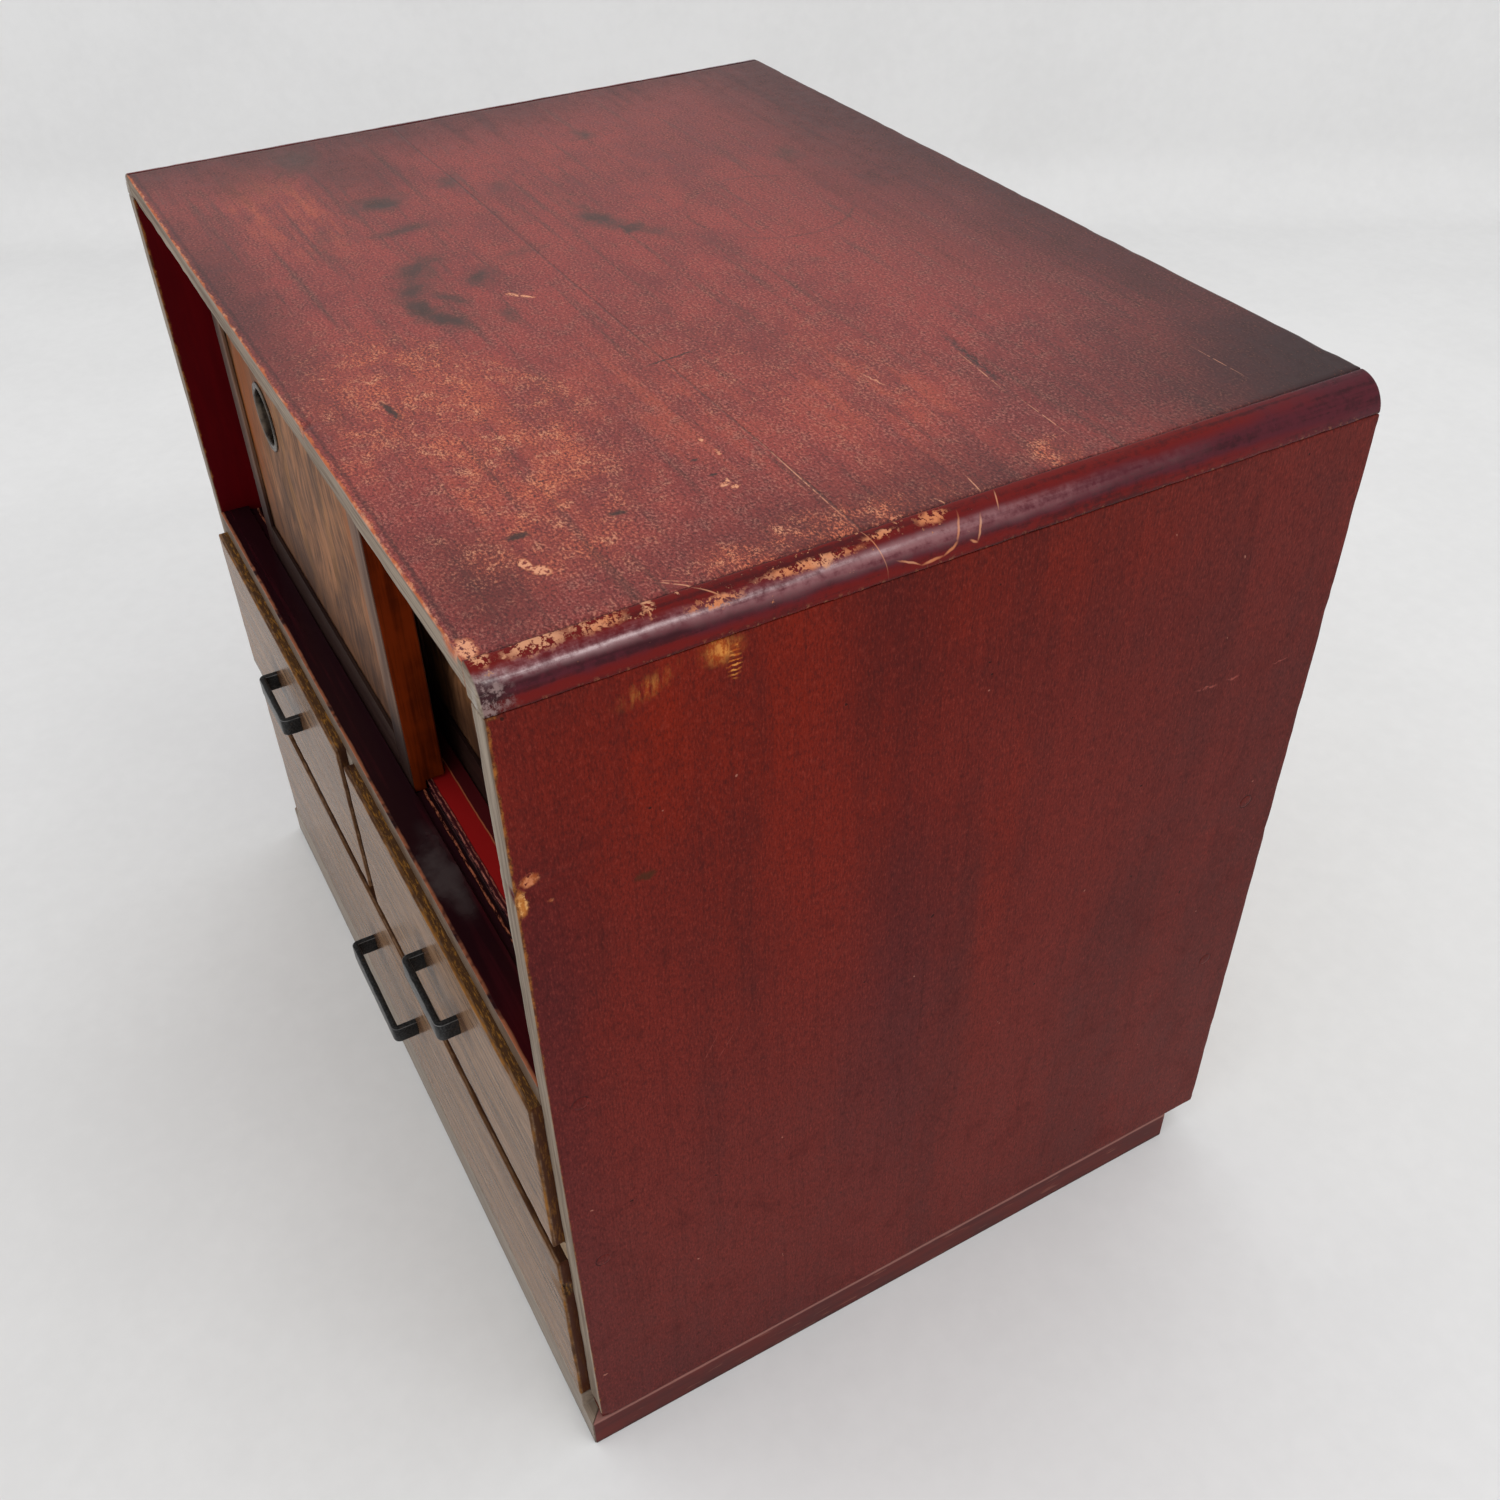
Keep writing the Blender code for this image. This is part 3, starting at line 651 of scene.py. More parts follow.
def corner_lacquer():
    material, point = start_finish("corner_lacquer")
    x, y, z = axes(point)
    across, wear = abs(x), corner_wear(point)
    cloud = wear.cloud
    colour, upper, sheen_crest = corner_ground(across, y, wear)
    bare = corner_flakes(point, x, y, upper, wear)
    low = smooth(z + (cloud - 0.5) * 0.004, SEAM_Z + 0.0024, SEAM_Z + 0.0004)
    nicks = low * smooth(grit(point, 300.0, 5.0, 0.7), 0.54, 0.60)
    # dark joint and painted shade along the lower seam
    colour = mix(low * (0.25 + smooth(cloud, 0.46, 0.60) * 0.35), colour, LOW_JOINT_SHADE)
    colour = mix(nicks * 0.45, colour, NICK)
    cuts = corner_cuts(point, x, wear)
    colour = mix(bare | (cuts * 0.8), colour, mix(smooth(cloud, 0.42, 0.60), FLAKE, FLAKE_PALE))
    end = smooth(y + (grit(point, 160.0, 4.0) - 0.5) * 0.020, FRONT_Y + 0.016, FRONT_Y + 0.004)
    battered = end * smooth(grit(point, 300.0, 6.0, 0.75), 0.46, 0.58)
    battered = battered * smooth(across, SEAM_X + 0.006, SEAM_X + 0.010)
    colour = mix(end * smooth(across, SEAM_X + 0.006, SEAM_X + 0.012) * 0.6, colour, BATTER_DARK)
    colour = mix(battered * 0.70, colour, BATTER_PALE)
    front = smooth(y, FRONT_Y + 0.0010, FRONT_Y + 0.0003)
    colour = mix(front, colour, bare_grey(point, "x"))
    rough = 0.26 + (cloud - 0.5) * 0.14 + bare * 0.35 + battered * 0.25 + front * 0.3
    height = wear.drawn * 0.25 + wear.grime * 0.12 - bare * 1.2 - battered - nicks * 0.8 - cuts * 0.5
    gloss = dict(Specular_IOR_Level=0.12, Coat_Weight=sheen_crest * (1 - bare), Coat_Roughness=0.22, Coat_IOR=1.75)
    return close_finish(material, colour, rough, height, 0.00025, 0.5, **gloss)


FINISH["corner_lacquer"] = corner_lacquer()

# %% [markdown]
# The sides are brushed red lacquer. The brush ran straight down, so the tone changes from stripe to stripe, and
# a warm red shows through in the upper middle. Low down and at the back it is dull with dust. Bristle lines and
# three sizes of mottle lie over that, each a noise with its own share.

# %% Ground of the sides
SIDE_RED, SIDE_DEEP, SIDE_GLOW = (0.142, 0.0130, 0.0085), (0.076, 0.0090, 0.0075), (0.190, 0.0120, 0.0034)
SIDE_DUST, SIDE_PLUM = (0.135, 0.0330, 0.0290), (0.066, 0.0100, 0.0125)
GLOWS = [
    (-0.115, 0.500, 0.120, 0.120),
    (-0.070, 0.420, 0.130, 0.160, 0, 0.55),
    (0.050, 0.520, 0.170, 0.070, 0, 0.6),
    (0.035, 0.340, 0.022, 0.240, 0, 0.45),
]
BRUSHED = [
    ("bristles", 0.48, 0.68, 0.22, (0.034, 0.006, 0.005)),
    ("fine", 0.50, 0.62, 0.46, (0.036, 0.0065, 0.0060)),
    ("fine", 0.47, 0.33, 0.30, (0.300, 0.050, 0.034)),
    ("cloud", 0.52, 0.70, 0.28, (0.050, 0.008, 0.008)),
    ("mottle", 0.50, 0.66, 0.36, (0.040, 0.0070, 0.0065)),
    ("mottle", 0.46, 0.32, 0.16, (0.270, 0.042, 0.028)),
]


def side_wear(point):
    return SimpleNamespace(
        broad=grit(point, 6.0, 4.0, 0.6),
        cloud=grit(point, 44.0, 5.0, 0.68),
        stripes=grit(point, (1.0, 40.0, 5.0), 6.0, 0.70),
        bands=grit(point, (1.0, 17.0, 2.2), 4.0, 0.6),
        mottle=grit(stretched(point, 1.0, 1.5, 1.0), 170.0, 6.0, 0.72),
        fine=grit(stretched(point, 1.0, 2.2, 0.8), 440.0, 4.0, 0.72),
        bristles=grit(warped(point, 14.0, 0.010), (40.0, 430.0, 9.0), 4.0, 0.65),
        loose=warped(point, 30.0, 0.030),
        ragged=warped(point, 240.0, 0.0050),
    )


def side_ground(y, z, wear):
    sway = wear.broad - 0.5
    tone = wear.broad * 0.25 + wear.bands * 0.40 + wear.stripes * 0.20 + wear.cloud * 0.15
    colour = mix(smooth(tone, 0.41, 0.59), SIDE_DEEP, SIDE_RED)
    thin = 0.40 + smooth(wear.stripes * 0.5 + wear.bands * 0.5, 0.40, 0.60) * 0.60
    colour = mix(patches(wear.loose, "x", 0.0, GLOWS) * thin, colour, SIDE_GLOW)
    middle = patch(wear.loose, (0, -0.020, 0.250), (FAR, 0.050, 0.230)) * 0.55
    ahead = smooth(y + sway * 0.03, -0.170, -0.206) * smooth(z, 0.50, 0.42) * 0.55
    foot = smooth(z + sway * 0.10, 0.12, 0.02) * smooth(y, 0.10, -0.20) * 0.5
    colour = mix(middle | ahead | foot, colour, SIDE_PLUM)
    dusty = smooth(z + sway * 0.2, 0.46, 0.10) | smooth(y + sway * 0.1, -0.05, 0.20) * 0.7
    colour = mix(dusty * 0.42, colour, SIDE_DUST)
    for name, low, high, share, tint in BRUSHED:
        colour = mix(smooth(getattr(wear, name), low, high) * share, colour, tint)
    return colour


print("sides:", len(GLOWS), "glows and", len(BRUSHED), "brushed layers")

# %% [markdown]
# The right side has been knocked and rubbed: a golden ladder of scuffs under the corner piece and pale
# scratches. The rungs of the ladder are a sine in z, bent by noise. Wear that only the right side shows is held to
# it by its x.

# %% Scuffs on the sides
SCUFF_DEEP, SCUFF_GOLD, SCRATCH_PINK = (0.38, 0.075, 0.012), (0.66, 0.250, 0.055), (0.40, 0.10, 0.075)
RAGGED_MARKS = [
    (0.156, 0.4080, 0.0100, 0.0011, -0.05),
    (0.173, 0.4075, 0.0060, 0.0013),
    (0.206, 0.4060, 0.0070, 0.0007),
]
FINE_MARKS = [(-0.128, 0.305, 0.0003, 0.0160, -0.5, 0.6), (-0.119, 0.303, 0.0003, 0.0180, -0.6, 0.6)]


def side_scuffs(colour, point, z, right, wear):
    ladder = smooth(sine(z * 2700.0 + grit(point, 240.0, 3.0) * 9.0), -0.1, 0.7)
    combed = smooth(grit(point, (1.0, 260.0, 60.0), 4.0, 0.65), 0.38, 0.62)
    rungs = patch(wear.ragged, (0, -0.1085, 0.5275), (FAR, 0.0036, 0.0125), inner=0.3) * ladder * 0.9
    broad = patch(wear.ragged, (0, -0.1140, 0.5340), (FAR, 0.0125, 0.0095)) * (0.45 + combed * 0.55)
    tail = patch(wear.ragged, (0, -0.1450, 0.5285), (FAR, 0.0200, 0.0070), (0.35, 0, 0)) * combed * 0.42
    scuffs = rungs | broad | tail
    colour = mix(scuffs * right, colour, mix(smooth(wear.mottle, 0.42, 0.58), SCUFF_DEEP, SCUFF_GOLD))
    marks = patches(wear.ragged, "x", 0.2, RAGGED_MARKS) | patches(point, "x", 0.2, FINE_MARKS)
    marks = marks * smooth(grit(point, 300.0), 0.40, 0.52)
    return mix(marks * right * 0.55, colour, SCRATCH_PINK), scuffs, marks


print("sides:", len(RAGGED_MARKS) + len(FINE_MARKS), "scratches")

# %% [markdown]
# Dark and light flecks lie all over the sides, from the two ends of one noise. There are also a dark smear, the
# rings of the four pegs, and a torn place at the front arris with bare wood of two colours. A ring is a narrow
# step on the distance from the middle of its peg.

# %% Flecks, pegs and the torn arris
PEGS, PEG_RING = [(y, z) for y in (-0.1942, 0.2069) for z in (0.3083, 0.1788)], 0.0043
DOT_DARK, DOT_LIGHT, SMEAR = (0.014, 0.006, 0.005), (0.420, 0.170, 0.120), (0.045, 0.020, 0.008)
PEG_DARK = (0.020, 0.007, 0.007)
TORN_RED, TORN_PINK = (0.30, 0.070, 0.022), (0.54, 0.190, 0.085)
TORN_BROWN, TORN_GOLD = (0.40, 0.140, 0.030), (0.62, 0.31, 0.11)


def side_flecks(colour, point, right, wear):
    pits = grit(point, 150.0, 2.0, 0.5)
    dots = smooth(pits, 0.755, 0.775)
    colour = mix(dots * 0.8, colour, DOT_DARK)
    colour = mix(smooth(pits, 0.235, 0.215) * 0.6, colour, DOT_LIGHT)
    smear = patch(wear.ragged, (0, -0.1531, 0.4333), (FAR, 0.0062, 0.0034), (0.1, 0, 0), 0.3)
    colour = mix(smear * right * 0.7, colour, SMEAR)
    flat = stretched(point, 0.0, 1.0, 1.0)
    rings = any_of([smooth(abs(distance(flat, (0, *peg)) - PEG_RING), 0.0006, 0.0001) for peg in PEGS])
    return mix(rings * 0.70 * smooth(grit(point, 90.0), 0.44, 0.56), colour, PEG_DARK), dots, rings


def side_gouge(colour, point, wear):
    torn = warped(point, 420.0, 0.0030)
    high = patch(torn, (OUTER_X, -0.2015, 0.4550), (CUT_DEEP, 0.0050, 0.0044), (0.5, 0, 0), 0.55)
    low = patch(torn, (OUTER_X, -0.2062, 0.4440), (CUT_DEEP, 0.0034, 0.0085), inner=0.55)
    fleck = patch(torn, (OUTER_X, -0.1942, 0.4405), (CUT_DEEP, 0.0018, 0.0014), (0.2, 0, 0), 0.3)
    broken = smooth(grit(point, 420.0, 4.0, 0.65), 0.36, 0.44)
    wood = mix(smooth(wear.mottle, 0.40, 0.58), TORN_RED, TORN_PINK)
    colour = mix((high | fleck * 0.6) * broken, colour, wood)
    colour = mix(low * broken, colour, mix(smooth(wear.mottle, 0.42, 0.58), TORN_BROWN, TORN_GOLD))
    return colour, (high | low | fleck) * broken


print("sides:", len(PEGS), "peg rings")

# %% [markdown]
# Inside the cupboard the same board keeps its clean deep red, and its front end is bare grey with a golden
# rubbed arris. Three finishes on one board would need seams in the mesh, so one finish tells the places apart by
# x and y.

# %% Side lacquer
INSIDE_DEEP, INSIDE_RED = (0.080, 0.0015, 0.0035), (0.105, 0.0016, 0.0036)
BROWN_RUB, GOLD_RUB = (0.075, 0.026, 0.010), (0.33, 0.118, 0.024)


def side_lacquer():
    material, point = start_finish("side_lacquer")
    x, y, z = axes(point)
    right, wear = on_right(x), side_wear(point)
    colour, scuffs, marks = side_scuffs(side_ground(y, z, wear), point, z, right, wear)
    colour, dots, rings = side_flecks(colour, point, right, wear)
    colour, gouge = side_gouge(colour, point, wear)
    outside = smooth(abs(x), OUTER_X - 0.0016, OUTER_X - 0.0008) | smooth(y, BACK_Y - 0.0030, BACK_Y - 0.0010)
    colour = mix(outside, mix(smooth(wear.stripes, 0.40, 0.62), INSIDE_DEEP, INSIDE_RED), colour)
    shaken = (grit(point, 110.0, 6.0, 0.74) - 0.5) * 0.90
    rubbed = smooth(near_arris(point) + shaken + smooth(z, 0.30, 0.42) * 0.16, 0.80, 1.02)
    rubbed = rubbed * smooth(y, FRONT_Y + 0.008, FRONT_Y + 0.002)
    colour = mix(rubbed * 0.85, colour, mix(smooth(wear.mottle, 0.40, 0.60), BROWN_RUB, GOLD_RUB))
    front = smooth(y, FRONT_Y + 0.0008, FRONT_Y + 0.0002)
    colour = mix(front, colour, bare_grey(point, "z"))
    rough = 0.45 + (wear.cloud - 0.5) * 0.24 + (scuffs | gouge) * 0.2 + front * 0.1 - (1 - outside) * 0.10
    height = wear.stripes * 0.2 + wear.bristles * 0.15 + wear.cloud * 0.20 + wear.fine * 0.20
    height = height - gouge * 1.4 - dots * 0.8 - rings * 0.6 - marks * 0.4
    return close_finish(material, colour, rough, height, 0.00022, 0.35, Specular_IOR_Level=0.045)


FINISH["side_lacquer"] = side_lacquer()

# %% [markdown]
# The low base carries the same lacquer as the sides, duller from floor dust, with a painted pale pink highlight
# along the top edge under the side and painted shade at the floor. A step in z draws each at this size.

# %% Base lacquer
BASE_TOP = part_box("base_right_rail")[1].z
BASE_DEEP, BASE_RED, BASE_SCUFF = (0.072, 0.0140, 0.0125), (0.108, 0.0180, 0.0145), (0.24, 0.085, 0.060)
LEDGE_HIGHLIGHT, BASE_FLOOR_SHADE = (0.34, 0.165, 0.140), (0.030, 0.010, 0.010)


def base_lacquer():
    material, point = start_finish("base_lacquer")
    _, y, z = axes(point)
    cloud = grit(point, 40.0, 4.0, 0.65)
    drawn = grit(point, (90.0, 6.0, 160.0), 4.0, 0.6)
    colour = mix(smooth(drawn * 0.6 + cloud * 0.4, 0.38, 0.62), BASE_DEEP, BASE_RED)
    scuffs = smooth(grit(point, (1.0, 40.0, 260.0), 4.0), 0.60, 0.68)
    colour = mix(scuffs * 0.45, colour, BASE_SCUFF)
    # painted highlight along the top edge of the base
    ledge_highlight = smooth(z + (cloud - 0.5) * 0.0022, BASE_TOP - 0.0022, BASE_TOP - 0.0006)
    colour = mix(ledge_highlight * 0.65, colour, LEDGE_HIGHLIGHT)
    # painted shade at the floor
    colour = mix(smooth(z + (cloud - 0.5) * 0.006, 0.005, 0.0005) * 0.7, colour, BASE_FLOOR_SHADE)
    colour = mix(smooth(y, FACE_Y + 0.0010, FACE_Y + 0.0004), colour, bare_grey(point, "x"))
    rough = 0.46 + (cloud - 0.5) * 0.2 + ledge_highlight * 0.25
    height = drawn * 0.5 + cloud * 0.2
    return close_finish(material, colour, rough, height, 0.0002, 0.4, Specular_IOR_Level=0.08)


FINISH["base_lacquer"] = base_lacquer()

# %% [markdown]
# The base's front rail and the divider between the drawers are bare grey like the other front edges, browner in
# places and darkened with painted shade at the floor. Behind the front they are plain wood. One finish for each
# direction of the grain keeps the lines along the board.

# %% Worn front wood
WORN_BROWN, WORN_FLOOR_SHADE = (0.215, 0.158, 0.112), (0.055, 0.045, 0.040)
BEHIND_DARK, BEHIND_LIGHT = (0.21, 0.135, 0.080), (0.36, 0.25, 0.155)


def worn_wood(along):
    material, point = start_finish("worn_wood_" + along)
    _, y, z = axes(point)
    cloud = grit(point, 26.0, 4.0, 0.6)
    lines = grain(point, along, 8.0)
    colour = mix(smooth(cloud, 0.40, 0.66) * 0.60, bare_grey(point, along), WORN_BROWN)
    # painted shade at the floor
    colour = mix(smooth(z + (cloud - 0.5) * 0.010, 0.006, 0.0) * 0.7, colour, WORN_FLOOR_SHADE)
    behind = smooth(y, FRONT_Y + 0.004, FRONT_Y + 0.012)
    colour = mix(behind, colour, mix(lines, BEHIND_DARK, BEHIND_LIGHT))
    rough = 0.46 + (lines - 0.5) * 0.25
    return close_finish(material, colour, rough, lines, 0.0003, 0.35, Specular_IOR_Level=0.4)


for along in "xz":
    FINISH["worn_" + along] = worn_wood(along)

# %% [markdown]
# Each slide of a door rubs the edges of the grooves in the shelf, so bands of pink, orange and bare red lie side
# by side behind its front edge. They are steps across the depth, in millimetres from the front, and some are
# broken into worn lines by a noise that is drawn out along the shelf. The black band at the back wall of the front
# groove and the dark red behind the last orange line are painted shade.

# %% Bands on the shelf
BANDS = [
    (19.6, 24.2, 0.5, 0.6, (0.034, 0.009, 0.014)),
    (24.6, 25.8, 0.3, "worn", (0.52, 0.165, 0.085)),
    # painted shade at the back wall of the front groove
    (26.7, 27.8, 0.2, 1.0, (0.012, 0.004, 0.005)),
    (27.9, 31.4, 0.5, 1.0, (0.045, 0.008, 0.011)),
    (28.2, 29.0, 0.3, "worn", (0.46, 0.160, 0.115)),
    (30.4, 31.2, 0.3, "worn", (0.42, 0.125, 0.085)),
    (31.6, 42.2, 0.5, 1.0, (0.310, 0.010, 0.010)),
    (42.2, 43.0, 0.25, 1.0, (0.45, 0.115, 0.050)),
    # painted shade behind the rear door
    (43.0, 60.0, 0.5, 1.0, (0.075, 0.008, 0.010)),
]


def shelf_bands(colour, point, behind):
    worn_line = smooth(grit(point, (220.0, 900.0, 220.0), 6.0, 0.75), 0.43, 0.58)
    for low, high, soft, share, tint in BANDS:
        band = smooth(behind, low - soft, low + soft) * smooth(behind, high + soft, high - soft)
        colour = mix(band * (worn_line if share == "worn" else share), colour, tint)
    return colour


print("shelf:", len(BANDS), "bands")

# %% [markdown]
# The door shelf and the head rail are glossy dark red lacquer, duller at a smudge near the right end. The arris is
# rubbed, the front edge below it is a grimy brown, and towards the back the shelf is plain wood.

# %% Shelf lacquer
SHELF_BLACK, SHELF_RED, END_RED = (0.016, 0.0035, 0.0055), (0.050, 0.006, 0.009), (0.070, 0.0030, 0.0045)
SMUDGE, SHELF_ARRIS, GRIMY = (0.070, 0.052, 0.052), (0.42, 0.140, 0.065), (0.095, 0.052, 0.028)
SHELF_WOOD = (0.20, 0.125, 0.075), (0.36, 0.25, 0.155)


def shelf_lacquer():
    material, point = start_finish("shelf_lacquer")
    x, y, z = axes(point)
    cloud = grit(point, 34.0, 4.0, 0.65)
    drawn = grit(point, (7.0, 160.0, 60.0), 4.0, 0.6)
    behind = (y - FRONT_Y) * 1000 + (grit(point, (60.0, 60.0, 60.0), 3.0) - 0.5) * 1.6
    colour = mix(smooth(drawn, 0.50, 0.72) * 0.6, SHELF_BLACK, SHELF_RED)
    smudge = patch(warped(point, 40.0, 0.02), (0.136, -0.198, 0), (0.050, 0.012, FAR), inner=0.2)
    colour = mix(smudge * smooth(cloud, 0.34, 0.58) * 0.70, colour, SMUDGE)
    colour = mix(smooth(x + (cloud - 0.5) * 0.06, 0.19, 0.27) * 0.4, colour, END_RED)
    colour = shelf_bands(colour, point, behind)
    inside = smooth(behind, 74.0, 84.0)
    wood = mix(grain(point, "x", 7.0), *SHELF_WOOD)
    colour = mix(inside, colour, wood)
    arris = smooth(behind, 2.2, 0.7) * smooth(z, SHELF_Z - 0.0012, SHELF_Z - 0.0002)
    colour = mix(arris * smooth(cloud, 0.36, 0.52) * 0.85, colour, SHELF_ARRIS)
    front = smooth(y, FRONT_Y + 0.0006, FRONT_Y + 0.0001) * smooth(z, SHELF_Z - 0.0004, SHELF_Z - 0.0014)
    grimy = smooth(z, SHELF_Z + 0.02, SHELF_Z) * (0.65 + smooth(cloud, 0.40, 0.60) * 0.25)
    colour = mix(front, colour, mix(grimy, bare_grey(point, "x"), GRIMY))
    under = smooth(z, SHELF_Z - 0.0130, SHELF_Z - 0.0138) * (1 - front)
    colour = mix(under * smooth(z, 0.40, 0.38), colour, wood)
    rough = 0.20 + (cloud - 0.5) * 0.14 + smudge * 0.18 + inside * 0.35 + (arris | front) * 0.3
    height = drawn * 0.4 + cloud * 0.2
    return close_finish(material, colour, rough, height, 0.00018, 0.3, Specular_IOR_Level=0.10)


FINISH["shelf_lacquer"] = shelf_lacquer()

# %% [markdown]
# The drawer faces are wood with most of the colour worn off, a grey brown with a soft polish. Growth rings round
# a heart far to the side give the lines, as in a board sawn from a log. Grime and painted shade lie beside the
# posts of the pulls, whose places are read from the solids.

# %% Wood of the drawer faces
FACE_GREY, FACE_BROWN, FACE_DARK = (0.285, 0.168, 0.098), (0.120, 0.062, 0.031), (0.034, 0.017, 0.010)
FACE_STREAK, FACE_GRIME_AND_SHADE = (0.165, 0.092, 0.056), (0.050, 0.021, 0.011)
# spots of grime and painted shade, a little above each post of a pull
POSTS = []
for pull_low, pull_high in (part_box(drawer + "_pull") for drawer in DRAWERS):
    POSTS += [(px, pull_high.z + 0.006) for px in (pull_low.x + 0.010, pull_high.x + 0.006)]


def face_wood(point, x, lines):
    broad = grit(point, (4.0, 9.0, 9.0), 4.0, 0.6)
    pores = grit(point, (50.0, 1100.0, 1100.0), 3.0, 0.6)
    sawn = point.node(
        "Mapping",
        {},
        {"Vector": warped(point, 7.0, 0.014), "Location": (0.030, 0.0, -0.165), "Scale": (0.075, 0.0, 1.0)},
    )
    heart = vectors("LENGTH", sawn, out=1)
    rings = grit(point.node("CombineXYZ", {}, {0: heart * 300.0, 1: x * 2.0}), 1.0, 4.0, 0.62)
    colour = mix(smooth(lines * 0.40 + broad * 0.20 + rings * 0.40, 0.38, 0.61), FACE_BROWN, FACE_GREY)
    colour = mix(smooth(pores, 0.52, 0.66) * 0.65, colour, FACE_DARK)
    colour = mix(smooth(broad, 0.50, 0.70) * 0.35, colour, FACE_STREAK)
    bent = warped(point, 120.0, 0.006)
    # grime and painted shade beside the posts of the pulls
    posts = any_of([patch(bent, (px, 0, pz), (0.024, FAR, 0.020), inner=0.1) for px, pz in POSTS])
    return mix(posts * 0.75, colour, FACE_GRIME_AND_SHADE), pores


print("faces:", len(POSTS), "posts of pulls")

# %% [markdown]
# The edges of the faces have rubbed to a ragged gold, darkened with painted shade where two drawers meet, and the
# thickness behind is brown with broken gold. The ragged line comes from the board's own distance to its arris,
# stored on the mesh and pushed about by noise.

# %% Drawer faces
EDGE_GOLD, EDGE_BROWN = (0.290, 0.120, 0.022), (0.060, 0.024, 0.011)
THICK_BROWN, THICK_GOLD, THICK_END = (0.072, 0.034, 0.016), (0.290, 0.128, 0.024), (0.058, 0.018, 0.010)
THICK_SEAM_SHADE, FACE_BACK = (0.034, 0.013, 0.008), ((0.23, 0.150, 0.090), (0.40, 0.285, 0.180))
MEET_Z = (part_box("lower_drawer_front")[1].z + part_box("upper_left_drawer_front")[0].z) / 2
END_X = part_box("lower_drawer_front")[1].x


def face_thickness(point, x, z, sway, meeting_shade):
    flow = grit(point, (110.0, 620.0, 110.0), 5.0, 0.74)
    colour = mix(smooth(flow, 0.49, 0.62), THICK_BROWN, THICK_GOLD)
    ends = smooth(abs(x) + sway * 0.001, END_X - 0.0014, END_X - 0.0006)
    colour = mix(ends * (0.65 + smooth(z, 0.200, 0.160) * 0.25), colour, THICK_END)
    return mix(meeting_shade * (1 - ends) * 0.85, colour, THICK_SEAM_SHADE)


def drawer_face():
    material, point = start_finish("drawer_face")
    x, y, z = axes(point)
    lines = grit(warped(point, 6.0, 0.03), (8.0, 200.0, 200.0), 5.0, 0.68)
    sway = grit(point, 120.0, 4.0, 0.68) - 0.5
    colour, pores = face_wood(point, x, lines)
    edge = smooth(near_arris(point) + sway * 0.60, 0.70, 0.90)
    gold = mix(smooth(grit(point, 45.0, 5.0, 0.65), 0.40, 0.64), EDGE_BROWN, EDGE_GOLD)
    # painted shade where two drawers meet
    meeting_shade = smooth(abs(z - MEET_Z), 0.018, 0.010) | smooth(abs(x), 0.016, 0.009)
    colour = mix(edge * 0.85, colour, mix(meeting_shade * 0.8, gold, EDGE_BROWN))
    thick = smooth(y + sway * 0.0014, FACE_Y + 0.0009, FACE_Y + 0.0022)
    colour = mix(thick, colour, face_thickness(point, x, z, sway, meeting_shade))
    inside = smooth(y, FRONT_Y + 0.0108, FRONT_Y + 0.0116)
    colour = mix(inside, colour, mix(lines, *FACE_BACK))
    rough = 0.23 + (lines - 0.5) * 0.20 + edge * 0.20 + inside * 0.4
    height = lines * 0.6 + pores * 0.3 - edge * 0.5
    return close_finish(material, colour, rough, height, 0.00022, 0.20, Specular_IOR_Level=0.025)


FINISH["drawer_face"] = drawer_face()

# %% [markdown]
# Behind the faces the chest is plain soft wood that was never coloured: back, bottom, dust board and the
# drawer boxes. It has gone honey brown with age. Growth lines run along each board, so there is one finish for
# each direction of the grain.

# %% Plain inner wood
PLAIN_DARK, PLAIN_LIGHT = (0.255, 0.170, 0.098), (0.385, 0.272, 0.163)
PLAIN_HAIR, PLAIN_BLOTCH = (0.150, 0.092, 0.052), (0.180, 0.115, 0.070)


def inner_wood(along):
    material, point = start_finish("inner_wood_" + along)
    lines = grain(point, along, 5.0)
    hairs = grain(point, along, 22.0, 3.0)
    colour = mix(smooth(lines, 0.30, 0.68), PLAIN_DARK, PLAIN_LIGHT)
    colour = mix(smooth(hairs, 0.54, 0.70) * 0.35, colour, PLAIN_HAIR)
    colour = mix(smooth(grit(point, 14.0, 4.0, 0.6), 0.50, 0.74) * 0.45, colour, PLAIN_BLOTCH)
    rough = 0.68 + (lines - 0.5) * 0.2
    return close_finish(material, colour, rough, lines * 0.7 + hairs * 0.3, 0.0003, 0.4, Specular_IOR_Level=0.3)


for along in "xy":
    FINISH["inner_" + along] = inner_wood(along)

# %% [markdown]
# The doors are framed panels, with frames of a dark grey-brown. Where the front door's right stile turns the
# corner its edge is a clean orange brown, as no light has bleached it. The stiles stand and the rails lie, so each
# has its own direction of the grain, and only the stiles get the clean edge.

# %% Door frames
FRAME_DARK, FRAME_LIGHT, FRAME_HAIR = (0.085, 0.040, 0.025), (0.200, 0.112, 0.072), (0.030, 0.015, 0.010)
FRAME_LOW, FRAME_END = (0.014, 0.006, 0.006), (0.034, 0.012, 0.009)
CLEAN_DARK, CLEAN_LIGHT, CLEAN_HAIR = (0.062, 0.008, 0.001), (0.165, 0.021, 0.002), (0.040, 0.007, 0.001)
STILE_X, STILE_HALF = 0.0285, 0.0349


